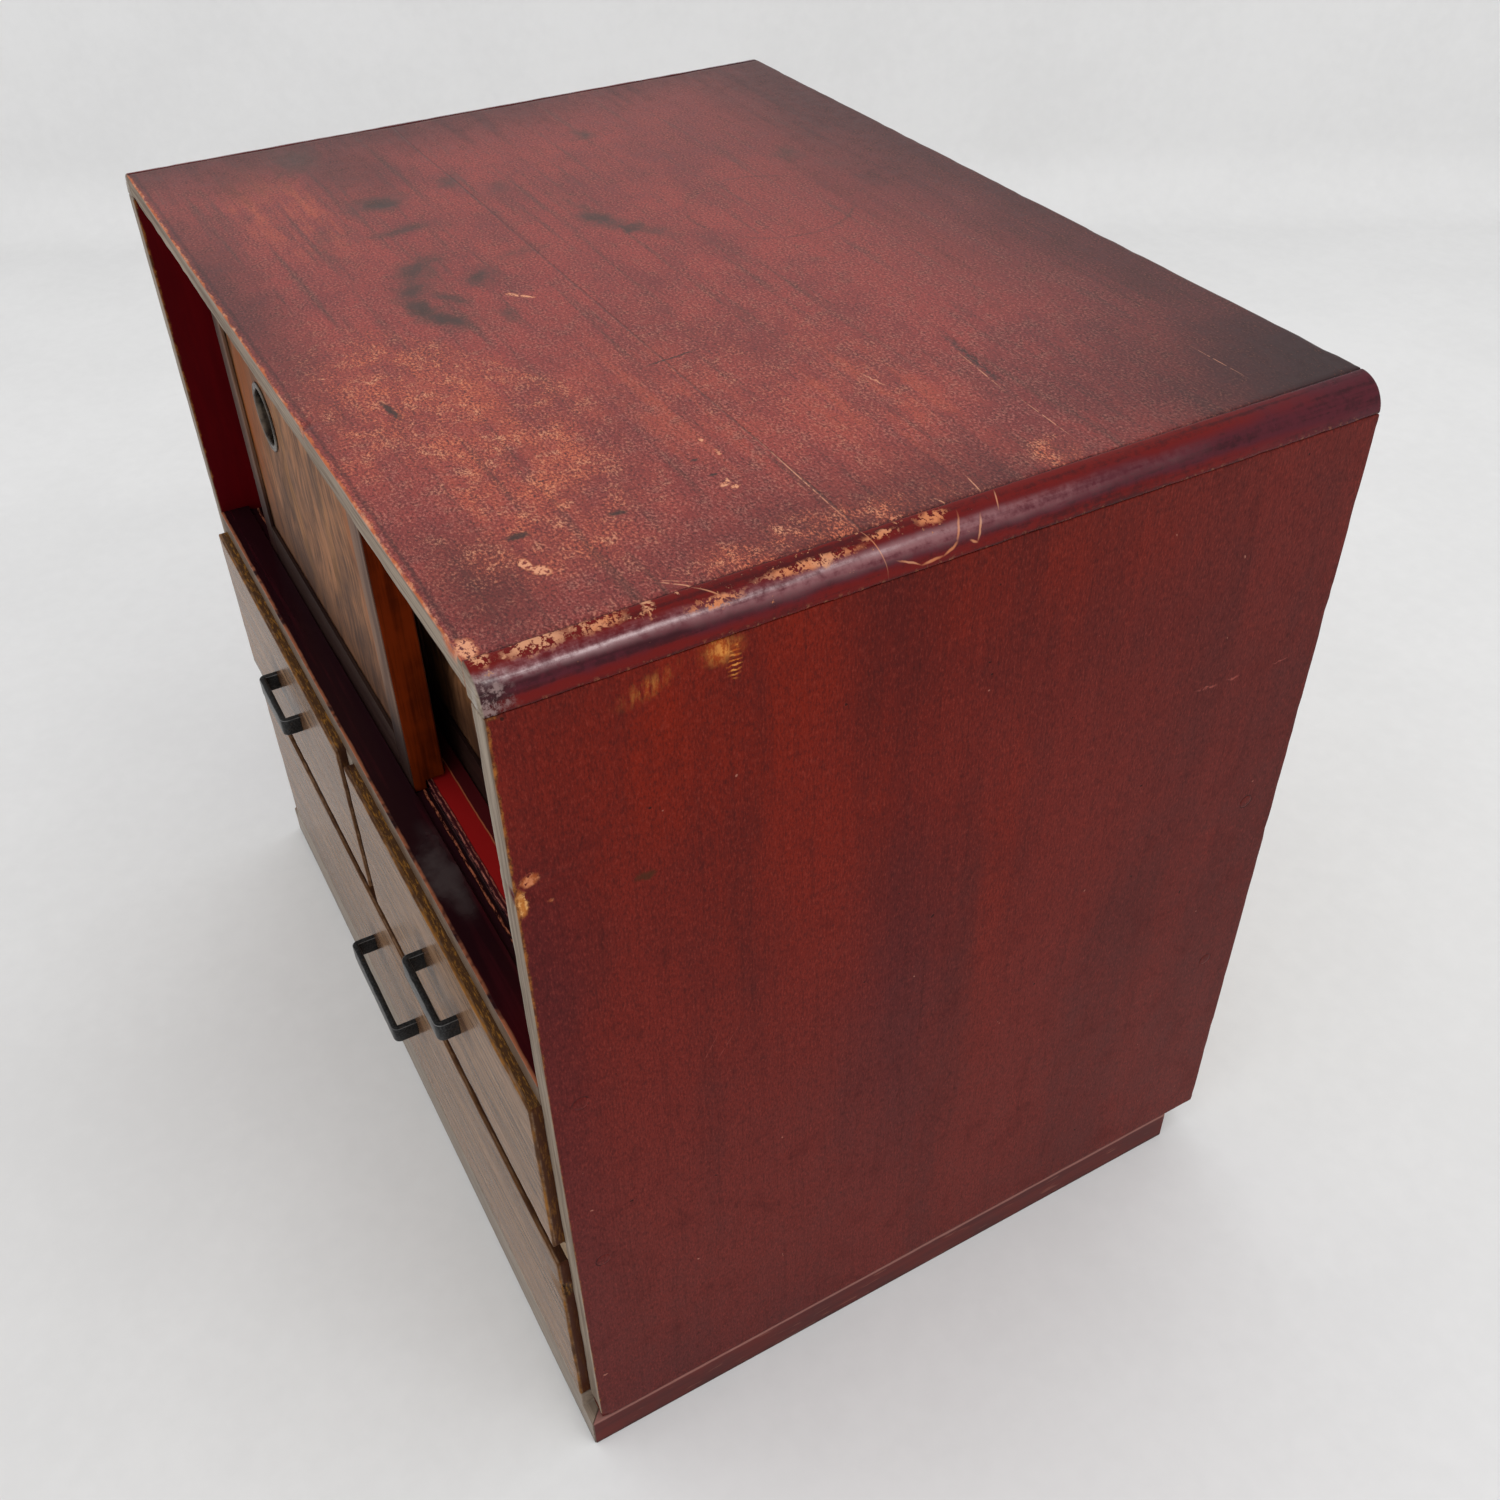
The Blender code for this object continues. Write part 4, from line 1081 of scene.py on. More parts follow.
def door_frame(along):
    material, point = start_finish("door_frame_" + along)
    x, _, z = axes(point)
    lines = grain(point, along, 8.0)
    hairs = grain(point, along, 30.0, 3.0)
    cloud = grit(point, 22.0, 4.0, 0.6)
    colour = mix(smooth(lines, 0.38, 0.62), FRAME_DARK, FRAME_LIGHT)
    colour = mix(smooth(hairs, 0.54, 0.68) * 0.5, colour, FRAME_HAIR)
    colour = mix(smooth(z + (cloud - 0.5) * 0.02, 0.385, 0.345) * 0.9, colour, FRAME_LOW)
    colour = mix(smooth(x + (cloud - 0.5) * 0.01, -0.205, -0.222) * 0.8, colour, FRAME_END)
    if along == "z":
        clean = mix(smooth(lines * 0.5 + cloud * 0.5, 0.40, 0.60), CLEAN_DARK, CLEAN_LIGHT)
        clean = mix(smooth(hairs, 0.52, 0.70) * 0.35, clean, CLEAN_HAIR)
        edge = smooth(abs(x - STILE_X), STILE_HALF, STILE_HALF + 0.0005) * smooth(abs(x), 0.20, 0.10)
        colour = mix(edge, colour, clean)
    rough = 0.45 + (lines - 0.5) * 0.2
    height = lines * 0.6 + hairs * 0.4
    return close_finish(material, colour, rough, height, 0.00025, 0.35, Specular_IOR_Level=0.04)


for along in "xz":
    FINISH["frame_" + along] = door_frame(along)

# %% [markdown]
# The door panels are a streaky figured veneer, with an orange streak beside the left stile and a wisp of it
# further right. A wave texture would repeat too evenly, so several noises are stretched along the panel and bent
# together.

# %% Door panels
PANEL_DARK, PANEL_LIGHT, PANEL_GOLD = (0.090, 0.036, 0.015), (0.330, 0.145, 0.064), (0.330, 0.140, 0.030)
STREAK, WISP = (0.225, 0.055, 0.006), (0.300, 0.090, 0.020)
PANEL_LOW, PANEL_HAIR = (0.040, 0.020, 0.015), (0.035, 0.016, 0.009)


def door_panel():
    material, point = start_finish("door_panel")
    z = axes(point)[2]
    bent = warped(point, 9.0, 0.07)
    bands = sine(grit(bent, (30.0, 8.0, 5.0), 2.0, 0.5) * 70.0) * 0.5 + 0.5
    figure = grit(bent, (24.0, 8.0, 7.0), 5.0, 0.66)
    lines = grit(bent, (190.0, 60.0, 9.0), 4.0, 0.6)
    hairs = grit(point, (900.0, 200.0, 22.0), 2.0, 0.5)
    cloud = grit(point, 30.0, 5.0, 0.68)
    tone = smooth(figure * 0.34 + lines * 0.36 + bands * 0.05 + cloud * 0.25, 0.41, 0.59)
    colour = mix(tone, PANEL_DARK, PANEL_LIGHT)
    gold = smooth(grit(bent, (40.0, 10.0, 6.0), 4.0, 0.65), 0.54, 0.70)
    colour = mix(gold * 0.45, colour, PANEL_GOLD)
    streak = patch(bent, (-0.185, 0, 0.46), (0.040, FAR, 0.15), inner=0.2)
    colour = mix(streak * 0.9 * smooth(lines * 0.6 + figure * 0.4, 0.32, 0.56), colour, STREAK)
    wisp = patch(bent, (0.030, 0, 0.46), (0.014, FAR, 0.14), inner=0.1)
    colour = mix(wisp * 0.7 * smooth(lines * 0.5 + figure * 0.5, 0.40, 0.58), colour, WISP)
    colour = mix(smooth(z + (cloud - 0.5) * 0.04, 0.410, 0.345) * 0.65, colour, PANEL_LOW)
    colour = mix(smooth(hairs, 0.54, 0.68) * 0.4, colour, PANEL_HAIR)
    rough = 0.45 + (figure - 0.5) * 0.2
    height = lines * 0.5 + hairs * 0.4
    return close_finish(material, colour, rough, height, 0.0002, 0.35, Specular_IOR_Level=0.03)


FINISH["door_panel"] = door_panel()

# %% [markdown]
# The pulls are black wrought iron straps, worn brighter where fingers touch. The hammered surface is a low bump,
# because its dents are shallower than the mesh could carry, and the bright rub follows the stored arris.

# %% Iron of the pulls
IRON_BLACK, IRON_GREY = (0.010, 0.010, 0.011), (0.042, 0.041, 0.041)
RUST, BRIGHT = (0.085, 0.042, 0.022), (0.30, 0.295, 0.29)


def pull_iron():
    material, point = start_finish("pull_iron")
    hammer = grit(point, 160.0, 3.0, 0.5)
    scale = grit(point, 900.0, 3.0, 0.6)
    drawn = grit(point, (60.0, 60.0, 1400.0), 3.0, 0.6)
    rust = smooth(grit(point, 220.0, 4.0, 0.65), 0.60, 0.70)
    colour = mix(rust * 0.35, mix(smooth(scale, 0.40, 0.66), IRON_BLACK, IRON_GREY), RUST)
    colour = mix(smooth(near_arris(point) + (hammer - 0.5) * 0.5, 0.62, 1.0) * 0.60, colour, BRIGHT)
    rough = 0.36 + (scale - 0.5) * 0.25 + rust * 0.2
    height = hammer * 0.8 + scale * 0.2 + drawn * 0.25
    return close_finish(material, colour, rough, height, 0.00035, 0.5, Metallic=0.75, Specular_IOR_Level=0.5)


FINISH["pull_iron"] = pull_iron()

# %% [markdown]
# The finger cups are a dark turned metal with a trace of green. The fine lines of the lathe are a noise drawn out
# round the cup, seen only in the bump.

# %% Metal of the finger cups
CUP_DARK, CUP_LIGHT, CUP_GREEN = (0.040, 0.030, 0.024), (0.130, 0.100, 0.075), (0.060, 0.070, 0.050)


def cup_metal():
    material, point = start_finish("cup_metal")
    lathe = grit(point, (60.0, 2600.0, 60.0), 3.0, 0.6)
    cloud = grit(point, 130.0, 4.0, 0.65)
    colour = mix(smooth(cloud, 0.38, 0.64), CUP_DARK, CUP_LIGHT)
    colour = mix(smooth(grit(point, 320.0, 3.0), 0.60, 0.70) * 0.35, colour, CUP_GREEN)
    rough = 0.30 + (cloud - 0.5) * 0.3
    return close_finish(material, colour, rough, lathe * 0.3 + cloud * 0.5, 0.0002, 0.35, Metallic=0.85)


FINISH["cup_metal"] = cup_metal()
print(len(FINISH), "finishes")

# %% [markdown]
# A board could be a cube with a bevel, but an old board's arris is never even. This one is a lattice on the
# six faces, with lines close together along the edges. Each corner of the lattice is drawn onto a rounded box,
# pushed in by noise where hands have worn it, and sunk further at each listed dent. The distance to the
# nearest arris stays on the mesh, for the finishes.

# %% Boards with eased and worn edges
ARRIS_REACH, NO_MARKS = 0.006, ((), (), ())


def lattice_lines(low, high, ease, pitch, marks=()):
    half = (high - low) / 2
    steps = (0, 0.3 * ease, 0.7 * ease, ease, ease + 0.0012, ease + 0.003, ease + 0.006)
    steps = [s for s in steps if s < half * 0.95]
    first, last = low + steps[-1], high - steps[-1]
    count = max(1, round((last - first) / pitch))
    lines = [low + s for s in steps] + [high - s for s in steps]
    lines += [first + (last - first) * i / count for i in range(1, count)]
    lines += [m for m in marks if first < m < last]
    lines.sort()
    return [line for i, line in enumerate(lines) if i == 0 or line - lines[i - 1] > 1e-5]


def lattice_board(low, high, ease, pitch, wear=0.0, dents=(), marks=NO_MARKS):
    low, high = Vector(low), Vector(high)
    lines = [lattice_lines(low[i], high[i], ease, pitch[i], marks[i]) for i in range(3)]
    found, verts, faces, near = {}, [], [], []

    def corner(key):
        if key in found:
            return found[key]
        p = Vector(lines[i][key[i]] for i in range(3))
        gaps = sorted(min(p[i] - low[i], high[i] - p[i]) for i in range(3))
        core = Vector(min(max(p[i], low[i] + ease), high[i] - ease) for i in range(3))
        out = (p - core).normalized()
        p = core + out * ease
        if wear and gaps[1] < 2.5 * ease:
            rough = noise.noise(p * 75.0) + 0.6 * noise.noise(p * 240.0)
            p -= out * wear * max(0.0, rough + 0.15) * (1 - gaps[1] / (2.5 * ease))
        for centre, radius, depth in dents:
            share = 1 - (p - Vector(centre)).length / radius
            if share > 0:
                p -= out * depth * min(1.0, 2 * share) * (0.8 + 0.5 * noise.noise(p * 400.0))
        found[key] = len(verts)
        verts.append(p)
        near.append(max(0.0, 1 - gaps[1] / ARRIS_REACH))
        return found[key]

    for side in range(3):
        a, b = (side + 1) % 3, (side + 2) % 3
        for end in (0, len(lines[side]) - 1):
            for u in range(len(lines[a]) - 1):
                for v in range(len(lines[b]) - 1):
                    ring = []
                    for du, dv in ((0, 0), (1, 0), (1, 1), (0, 1)):
                        key = [0, 0, 0]
                        key[side], key[a], key[b] = end, u + du, v + dv
                        ring.append(corner(tuple(key)))
                    faces.append(ring if end else ring[::-1])
    return verts, faces, near


print("marks on a board reach", ARRIS_REACH, "m from its arris")

# %% [markdown]
# Every new piece is made in the same way: its parts are joined into one mesh with smooth faces and its finish, it
# rides on its body, and stands for the solids that it replaces.


def make_piece(name, parts, finish, body, stands_for=()):
    verts, faces, near = [], [], []
    for part_verts, part_faces, part_near in parts:
        faces += [[i + len(verts) for i in ring] for ring in part_faces]
        verts += part_verts
        near += part_near
    mesh = bpy.data.meshes.new(name)
    mesh.from_pydata(verts, [], faces)
    mesh.polygons.foreach_set("use_smooth", [True] * len(faces))
    mesh.attributes.new("arris", "FLOAT", "POINT").data.foreach_set("value", near)
    mesh.materials.append(FINISH[finish])
    piece = bpy.data.objects.new(name, mesh)
    bpy.context.scene.collection.objects.link(piece)
    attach(piece, body)
    if stands_for:
        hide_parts(*stands_for)
    print(name, len(faces), "faces")
    return piece


def board(node, finish, ease=0.0007, pitch=(0.03, 0.03, 0.03), wear=0.0, dents=(), marks=NO_MARKS):
    low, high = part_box(node)
    made = lattice_board(low, high, ease, pitch, wear, dents, marks)
    make_piece(node + "_board", [made], finish, nodes[node]["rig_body"], [node])


# %% [markdown]
# The top and the two sides are the large boards. The top's front arris has a splinter torn from it, and the right
# side has a deep gouge in its front arris, so those get extra lattice lines and dents of their own. The lower front
# corner of each side has been knocked round.

# %% Top and sides
SPLINTER, BRUISE = Vector((0.086, FRONT_Y, TOP_Z)), Vector((0.272, FRONT_Y, TOP_Z))
GOUGE = Vector((OUTER_X, FRONT_Y + 0.0035, 0.449))
FOOT_X = (OUTER_X + INNER_X) / 2
board(
    "top_board",
    "top_lacquer",
    ease=0.0009,
    pitch=(0.008, 0.02, 0.02),
    wear=0.0007,
    dents=[(SPLINTER, 0.005, 0.0012), (BRUISE, 0.009, 0.0009)],
    marks=([SPLINTER.x + i * 0.001 for i in range(-5, 6)], (), ()),
)
for hand, way in (("left", -1), ("right", 1)):
    worn_foot = (Vector((way * FOOT_X, FRONT_Y, panel_low.z)), 0.010, 0.0022)
    board(
        hand + "_side_panel",
        "side_lacquer",
        ease=0.0009,
        pitch=(0.02, 0.02, 0.008),
        wear=0.0006,
        dents=[worn_foot, (GOUGE, 0.008, 0.0011)] if hand == "right" else [worn_foot],
        marks=((), (), [GOUGE.z + i * 0.0012 for i in range(-7, 8)]),
    )

# %% [markdown]
# The corner piece is a quarter round as long as the chest is deep. Its section is drawn as a list of points,
# an arc with small eased edges at both joints, and swept from front to back. Noise wears the lower edge and
# batters the front end, where the real one is bruised almost to bare wood.

# %% Rounded corner pieces
ARC_STEPS, SEAM_EASE, END_EASE, BATTERED = 16, 0.0006, 0.0012, 0.016
CORE = Vector((0.006, 0.0, 0.006))


def corner_section(radius):
    ease = SEAM_EASE
    turns = [math.pi / 2 * i / ARC_STEPS for i in range(ARC_STEPS + 1)]
    section = [(radius * math.sin(angle), radius * math.cos(angle)) for angle in turns]
    section[0], section[-1] = (ease, radius), (radius, ease)
    section += [(radius - 0.2 * ease, 0.2 * ease), (radius - ease, 0), (0.004, 0), (ease, 0), (0, ease)]
    section += [(0, radius * 0.5), (0, radius - 2 * ease), (0.2 * ease, radius - 0.4 * ease)]
    return section


def corner_bruise(spot, i, behind):
    if i > ARC_STEPS + 1:
        return 0.0
    depth = 0.00035 * max(0.0, noise.noise(spot * 130.0) + 0.2)
    if i >= ARC_STEPS - 2:
        depth += 0.0006 * max(0.0, noise.noise(spot * 110.0 + Vector((3, 1, 2))))
    if behind < BATTERED and i > 2:
        depth += 0.0012 * (1 - behind / BATTERED) * max(0.0, noise.noise(spot * 210.0) + 0.3)
    return depth


def corner_round(node, hand):
    low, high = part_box(node)
    section = corner_section(high.x - low.x)
    stations = lattice_lines(low.y, high.y, END_EASE, 0.006)
    verts, faces, near = [], [], []
    count = len(section)
    for y in stations:
        end = min(y - low.y, high.y - y)
        pull = END_EASE - math.sqrt(max(0.0, END_EASE**2 - max(0.0, END_EASE - end) ** 2))
        for i, (across, up) in enumerate(section):
            local = Vector((across, 0.0, up))
            local -= (local - CORE).normalized() * pull
            bruise = corner_bruise(Vector((local.x, y, local.z)), i, y - low.y)
            local -= (local - CORE).normalized() * bruise
            x = low.x + local.x if hand > 0 else high.x - local.x
            verts.append(Vector((x, y, low.z + local.z)))
            near.append(max(0.0, 1 - end / ARRIS_REACH))
    for here in range(0, (len(stations) - 1) * count, count):
        for i in range(count):
            j = (i + 1) % count
            faces.append([here + i, here + j, here + count + j, here + count + i])
    faces += [list(range(count))[::-1], list(range(len(verts) - count, len(verts)))]
    if hand < 0:
        faces = [ring[::-1] for ring in faces]
    make_piece(node + "_round", [(verts, faces, near)], "corner_lacquer", "case", [node])


corner_round("left_corner_piece", -1)
corner_round("right_corner_piece", 1)

# %% [markdown]
# Turned and round pieces share one helper: a profile of radius and depth is carried round an axis. The eight
# pegs that pin the shelf and the dust board show as faint discs a hair proud of the sides.

# %% Turned pieces and pegs
def turned(profile, centre, axis, steps):
    centre, axis = Vector(centre), Vector(axis)
    side = axis.orthogonal().normalized()
    other = axis.cross(side)
    verts, faces, near, rings = [], [], [], []
    for radius, depth in profile:
        if radius < 1e-7:
            rings.append([len(verts)] * steps)
            verts.append(centre + axis * depth)
            near.append(0.0)
            continue
        rings.append(list(range(len(verts), len(verts) + steps)))
        for i in range(steps):
            angle = 2 * math.pi * i / steps
            verts.append(centre + axis * depth + (side * math.cos(angle) + other * math.sin(angle)) * radius)
            near.append(0.3)
    for low, high in zip(rings, rings[1:]):
        for i in range(steps):
            j = (i + 1) % steps
            faces.append(list(dict.fromkeys((low[i], high[i], high[j], low[j]))))
    return verts, faces, near


for node in sorted(n for n in nodes if n.endswith("_peg")):
    low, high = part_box(node)
    hand = 1 if node.startswith("right") else -1
    radius, long = (high.z - low.z) / 2, high.x - low.x
    centre = (high.x if hand > 0 else low.x, (low.y + high.y) / 2, (low.z + high.z) / 2)
    profile = [(0, 0.00018), (radius * 0.6, 0.00016), (radius * 0.92, 0.00006), (radius, -0.0003)]
    profile += [(radius, -long * 0.98), (radius * 0.8, -long), (0, -long)]
    peg = turned(profile, centre, (hand, 0, 0), 24)
    make_piece(node + "_end", [peg], "side_lacquer", "case", [node])

# %% [markdown]
# The drawers are boxes of thin boards behind a thick face. The face gets a fine worn arris, the lower one with
# a chip out of its right edge. Small wooden nails hold the sides, as a joiner of such chests would drive them, and
# are made as little discs in one piece for each drawer.

# %% Drawers
NAIL, CHIP_Z, NICK_Z = 0.0016, 0.142, 0.056
CHIPS = [(CHIP_Z, 0.010, 0.0022), (NICK_Z, 0.006, 0.0012)]


def nail_head(centre, axis):
    profile = [(0, 0.00035), (NAIL * 0.6, 0.0003), (NAIL, 0.0001), (NAIL, -0.002), (0, -0.002)]
    return turned(profile, centre, axis, 12)


def drawer_nails(drawer):
    heads = []
    for hand, way in (("left", -1), ("right", 1)):
        low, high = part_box(f"{drawer}_{hand}_side")
        x = (low.x if way < 0 else high.x) - way * 0.0003
        for share in (0.18, 0.5, 0.82):
            for y in (low.y + 0.010, high.y - 0.0045):
                heads.append(nail_head((x, y, low.z + (high.z - low.z) * share), (way, 0, 0)))
    make_piece(drawer + "_nails", heads, "inner_y", drawer)


for drawer in DRAWERS:
    low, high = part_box(drawer + "_front")
    chips, marks = [], NO_MARKS
    if drawer == "lower_drawer":
        chips = [(Vector((high.x, low.y, z)), wide, deep) for z, wide, deep in CHIPS]
        marks = ((), (), [CHIP_Z + i * 0.0015 for i in range(-7, 8)])
    board(drawer + "_front", "drawer_face", 0.0009, (0.009, 0.02, 0.009), 0.0009, chips, marks)
    for hand in ("left", "right"):
        board(f"{drawer}_{hand}_side", "inner_y", 0.0006, (0.05, 0.06, 0.05))
    board(drawer + "_back", "inner_x", 0.0006, (0.06, 0.05, 0.05))
    board(drawer + "_bottom", "inner_x", 0.0006, (0.06, 0.06, 0.05))
    drawer_nails(drawer)

# %% [markdown]
# Dust board, divider, bottom and back close the case. The back of such a chest is thin planks nailed on, so
# three planks with open joints stand for the one plain panel, with iron nail heads along the edges.

# %% Inner boards and back
board("dust_board", "inner_x", 0.0008, (0.05, 0.05, 0.05), 0.0003)
board("bottom_board", "inner_x", 0.0008, (0.05, 0.05, 0.05))
board("drawer_divider", "worn_z", 0.0008, (0.03, 0.03, 0.012), 0.0005)
board("base_back_rail", "inner_x", 0.0008, (0.03, 0.03, 0.03), 0.0004)
PLANKS, JOINT, EDGE_NAILS, SHELF_NAILS, NAIL_SUNK = 3, 0.0008, 9, 5, 0.0002
low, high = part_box("back_panel")
tall, planks, heads = high.z - low.z, [], []
for i in range(PLANKS):
    foot = low.z + tall * i / PLANKS + (JOINT / 2 if i else 0)
    head = low.z + tall * (i + 1) / PLANKS - (JOINT / 2 if i < PLANKS - 1 else 0)
    plank = (low.x, low.y, foot), (high.x, high.y, head)
    planks.append(lattice_board(*plank, 0.0010, (0.02, 0.02, 0.02), 0.0005))
make_piece("back_planks", planks, "inner_x", "case", ["back_panel"])
for i in range(EDGE_NAILS):
    z = low.z + tall * (i + 0.5) / EDGE_NAILS
    for x in (low.x + 0.006, high.x - 0.006):
        stray = 0.0015 * noise.noise(Vector((x, i, 3)))
        heads.append(nail_head((x + stray, high.y - NAIL_SUNK, z), (0, 1, 0)))
for node in ("door_shelf", "dust_board"):
    shelf_low, shelf_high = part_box(node)
    for i in range(SHELF_NAILS):
        x = low.x + (high.x - low.x) * (i + 1) / (SHELF_NAILS + 1)
        heads.append(nail_head((x, high.y - NAIL_SUNK, (shelf_low.z + shelf_high.z) / 2), (0, 1, 0)))
make_piece("back_nails", heads, "pull_iron", "case")
print("back of", PLANKS, "planks and", len(heads), "nails")

# %% [markdown]
# A strap pull is one flat bar bent twice. A curve with a bevel could give it, but its edges would all be alike.
# Here its section is a small rounded rectangle, and its path leaves the face, turns, crosses and returns.

# %% Section and path of a pull
STRAP, STRAP_ROUND, BEND, BEND_STEPS, TANG = 0.0042, 0.0006, 0.0022, 4, 0.0015


def strap_section(half_thick, half_high):
    points = []
    flat, tall = half_thick - STRAP_ROUND, half_high - STRAP_ROUND
    for cu, cv, first in ((1, 1, 0), (-1, 1, 1), (-1, -1, 2), (1, -1, 3)):
        for i in range(4):
            angle = math.pi / 2 * (first + i / 3)
            u, v = STRAP_ROUND * math.cos(angle), STRAP_ROUND * math.sin(angle)
            points.append((cu * flat + u, cv * tall + v))
    return points


def strap_path(left, right, face, reach):
    inner_left, inner_right, out = left + STRAP / 2, right - STRAP / 2, face - reach + STRAP / 2
    stands = (face + 0.0012, face - 0.0006, (face + out) / 2)
    path = [(inner_left, y) for y in stands]
    for cx, start_angle in ((inner_left + BEND, math.pi), (inner_right - BEND, math.pi * 1.5)):
        for i in range(BEND_STEPS + 1):
            angle = start_angle + math.pi / 2 * i / BEND_STEPS
            path.append((cx + BEND * math.cos(angle), out + BEND + BEND * math.sin(angle)))
        if start_angle == math.pi:
            path += [(left + (right - left) * s, out) for s in (0.2, 0.35, 0.5, 0.65, 0.8)]
    return path + [(inner_right, y) for y in stands[::-1]]


print("bar", STRAP, "m thick, bent at", BEND, "m")

# %% [markdown]
# The section is carried along the path with the dents of a hammer in it. Two square tangs go through the drawer
# front, and their peened ends show inside the drawer.


# %% Strap pulls
def strap_bar(path, low, high):
    half_high, middle_z = (high.z - low.z) / 2, (low.z + high.z) / 2
    section = strap_section(STRAP / 2, half_high)
    verts, faces, near, count = [], [], [], len(section)
    for i, (x, y) in enumerate(path):
        before, after = path[max(0, i - 1)], path[min(len(path) - 1, i + 1)]
        along = Vector((after[0] - before[0], after[1] - before[1], 0)).normalized()
        out = Vector((along.y, -along.x, 0))
        for u, v in section:
            spot = Vector((x, y, middle_z + v)) + out * u
            dent = 0.00022 * noise.noise(spot * 190.0)
            verts.append(spot + out * (dent if abs(u) > STRAP * 0.2 else 0) + Vector((0, 0, 0.6 * dent)))
            corner = min(STRAP / 2 - abs(u), half_high - abs(v))
            near.append(0.9 if corner > 0.00005 else 0.35)
    for here in range(0, (len(path) - 1) * count, count):
        for j in range(count):
            k = (j + 1) % count
            faces.append([here + j, here + count + j, here + count + k, here + k])
    faces += [list(range(count)), list(range(len(verts) - count, len(verts)))[::-1]]
    return verts, faces, near


def strap_pull(drawer):
    low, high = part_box(drawer + "_pull")
    parts = [strap_bar(strap_path(low.x, high.x, FACE_Y, FACE_Y - low.y), low, high)]
    middle_z, inner_face = (low.z + high.z) / 2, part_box(drawer + "_front")[1].y
    for x in (low.x + STRAP / 2, high.x - STRAP / 2):
        tang_low = (x - TANG, FACE_Y + 0.0008, middle_z - TANG)
        tang_high = (x + TANG, inner_face + 0.0004, middle_z + TANG)
        parts.append(lattice_board(tang_low, tang_high, 0.0004, (0.01, 0.01, 0.01)))
    make_piece(drawer + "_strap", parts, "pull_iron", drawer, [drawer + "_pull"])


for drawer in DRAWERS:
    strap_pull(drawer)

# %% [markdown]
# The finger cup is a thin turned dish let into the door panel, with a rolled rim and a fine groove. Its profile
# runs from the middle of its back round the rim to the middle of its floor, so both sides are closed.

# %% Finger cups
CUP_BACK = [(0, 0.0100), (0.0120, 0.0100), (0.0162, 0.0099), (0.0172, 0.0090), (0.0175, 0.0070), (0.0175, 0.0004)]
CUP_RIM = [(0.0206, 0.0002), (0.0210, -0.0002), (0.0209, -0.0008), (0.0204, -0.0012), (0.0198, -0.0011)]
CUP_GROOVE = [(0.0194, -0.0007), (0.0190, -0.0007), (0.0186, -0.0011), (0.0180, -0.0012), (0.0173, -0.0009)]
CUP_WALL = [(0.0170, -0.0002), (0.0169, 0.0020), (0.0168, 0.0066), (0.0162, 0.0080), (0.0150, 0.0087)]
CUP_FLOOR = [(0.0110, 0.0090), (0.0060, 0.0091), (0, 0.0091)]
CUP_PROFILE = CUP_BACK + CUP_RIM + CUP_GROOVE + CUP_WALL + CUP_FLOOR
for door in DOORS:
    low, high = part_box(door + "_finger_pull")
    centre = ((low.x + high.x) / 2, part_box(door + "_panel")[0].y, (low.z + high.z) / 2)
    cup = turned(CUP_PROFILE, centre, (0, 1, 0), 72)
    make_piece(door + "_cup", [cup], "cup_metal", door, [door + "_finger_pull"])

# %% [markdown]
# Shelf, head rail, base rails and door frames have grooves, mitres and tenons that the joiner's solids already
# hold, so those solids stay. A weld and a small bevel ease their arrises, and each takes its own finish.

# %% Grooved and mitred pieces
KEPT = {
    "door_shelf": ("shelf_lacquer", 0.0007),
    "door_head_rail": ("shelf_lacquer", 0.0006),
    "base_front_rail": ("worn_x", 0.0008),
    "base_left_rail": ("base_lacquer", 0.0008),
    "base_right_rail": ("base_lacquer", 0.0008),
}
for door in DOORS:
    KEPT[door + "_panel"] = ("door_panel", 0.0)
    for part in ("left_stile", "right_stile"):
        KEPT[f"{door}_{part}"] = ("frame_z", 0.0006)
    for part in ("top_rail", "bottom_rail"):
        KEPT[f"{door}_{part}"] = ("frame_x", 0.0006)
for node, (finish, ease) in KEPT.items():
    solid = nodes[node]
    solid.data.materials.clear()
    solid.data.materials.append(FINISH[finish])
    if ease:
        weld = solid.modifiers.new("weld", "WELD")
        weld.merge_threshold = 0.00002
        bevel = solid.modifiers.new("ease", "BEVEL")
        bevel.width, bevel.segments, bevel.limit_method, bevel.angle_limit = ease, 3, "ANGLE", math.radians(40)
        bevel.harden_normals = True
print(len(KEPT), "solids kept with eased arrises")

# %% [markdown]
# The room is a pale concrete floor that meets a pale wall. One sheet, bent up behind the chest, gives both
# without a hard corner. It is stage and not part of the chest.

# %% Floor and wall
FLOOR_GREY, FLOOR_DULL = (0.81, 0.81, 0.81), tuple(v * 0.95 for v in (0.81, 0.81, 0.81))
BEFORE, WALL_AWAY, WALL_HIGH, HALF_WIDE, COVE, COVE_STEPS = 4.0, 2.30, 0.9, 5.0, 0.10, 8


def pale_floor():
    material, point = start_finish("pale_floor")
    fine = grit(point, 60.0, 4.0, 0.6)
    colour = mix(smooth(grit(point, 3.0, 5.0, 0.6) * 0.7 + fine * 0.3, 0.35, 0.65), FLOOR_DULL, FLOOR_GREY)
    return close_finish(material, colour, 0.75 + (fine - 0.5) * 0.1, Specular_IOR_Level=0.2)


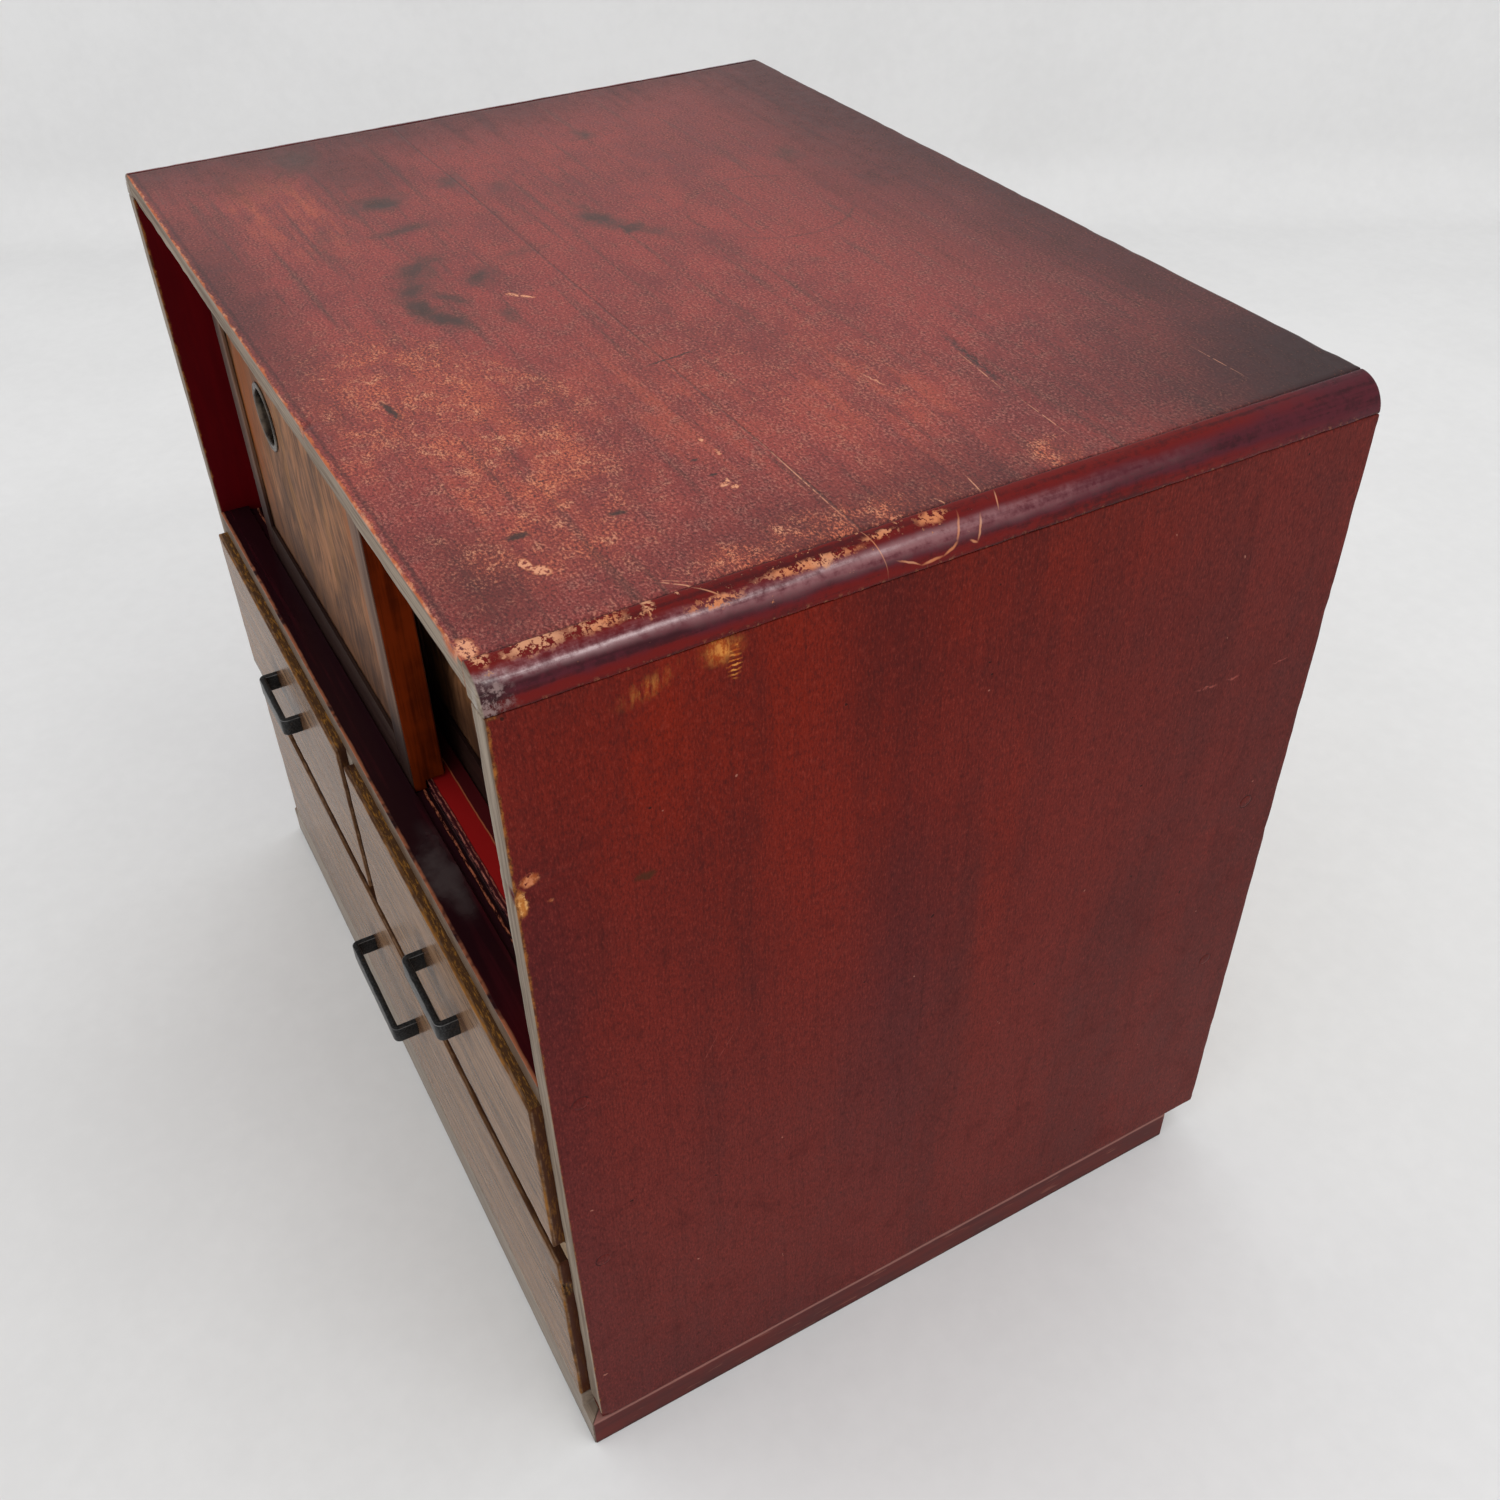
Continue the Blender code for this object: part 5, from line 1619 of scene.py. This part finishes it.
def stage_sheet():
    back = Vector((-math.sin(YAW), math.cos(YAW), 0))
    along = Vector((back.y, -back.x, 0))
    start = Vector((EYE.x, EYE.y, 0)) - back * BEFORE
    reach = WALL_AWAY + BEFORE - COVE
    turns = [math.pi / 2 * i / COVE_STEPS for i in range(1, COVE_STEPS + 1)]
    line = [(0.0, 0.0), (reach * 0.5, 0.0), (reach, 0.0)]
    line += [(reach + COVE * math.sin(a), COVE - COVE * math.cos(a)) for a in turns]
    line += [(reach + COVE, WALL_HIGH)]
    ends = (-HALF_WIDE, HALF_WIDE)
    verts = [start + back * away + along * s + Vector((0, 0, up)) for away, up in line for s in ends]
    faces = [(2 * i, 2 * i + 1, 2 * i + 3, 2 * i + 2) for i in range(len(line) - 1)]
    mesh = bpy.data.meshes.new("floor")
    mesh.from_pydata(verts, [], faces)
    mesh.polygons.foreach_set("use_smooth", [True] * len(faces))
    mesh.materials.append(pale_floor())
    sheet = bpy.data.objects.new("floor", mesh)
    bpy.context.scene.collection.objects.link(sheet)
    sheet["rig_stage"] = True
    return sheet


print("floor of", len(stage_sheet().data.polygons), "strips")

# %% [markdown]
# The light in the room is soft. An even pale sky lights everything, and one long strip lamp, high at the right,
# gives the rounded corner its sheen. Looked at directly or in a reflection, the sky is the same pale grey as the
# wall.

# %% Light
SKY, SKY_SEEN = 1.0, (0.72, 0.72, 0.72)
LAMP_WATTS, LAMP_WIDE, LAMP_LONG, LAMP_AT, LAMP_LEAN = 5.0, 0.26, 1.00, (1.31, 0.35, 1.95), math.radians(33)


def light_room():
    world = bpy.data.worlds.new("sky")
    bpy.context.scene.world = world
    world.use_nodes = True
    world.node_tree.nodes.clear()
    wire = Wire(world.node_tree)
    path = wire.node("LightPath", out="Is Camera Ray")
    outs = path.socket.node.outputs
    seen = path | Wire(path.tree, outs["Is Glossy Ray"]) | Wire(path.tree, outs["Is Transmission Ray"])
    lit = wire.node("Background", {}, {"Color": (1.0, 1.0, 1.0), "Strength": SKY})
    shown = wire.node("Background", {}, {"Color": SKY_SEEN, "Strength": 1.0})
    wire.node("OutputWorld", {}, {"Surface": wire.node("MixShader", {}, {0: seen, 1: lit, 2: shown})})
    lamp = bpy.data.lights.new("overhead", "AREA")
    lamp.shape, lamp.size, lamp.size_y, lamp.energy = "RECTANGLE", LAMP_WIDE, LAMP_LONG, LAMP_WATTS
    stand = bpy.data.objects.new("overhead", lamp)
    bpy.context.scene.collection.objects.link(stand)
    stand.location, stand.rotation_euler = LAMP_AT, (0, LAMP_LEAN, 0)
    bpy.context.scene.view_settings.view_transform = "Standard"


light_room()
print("sky", SKY, "lamp", LAMP_WATTS, "W")

# %% [markdown]
# Last, the box of the finished chest is worked out and printed.

# %% Sizes and finish
low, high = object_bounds()
print("visual box", [round(v, 4) for v in high - low], "m")
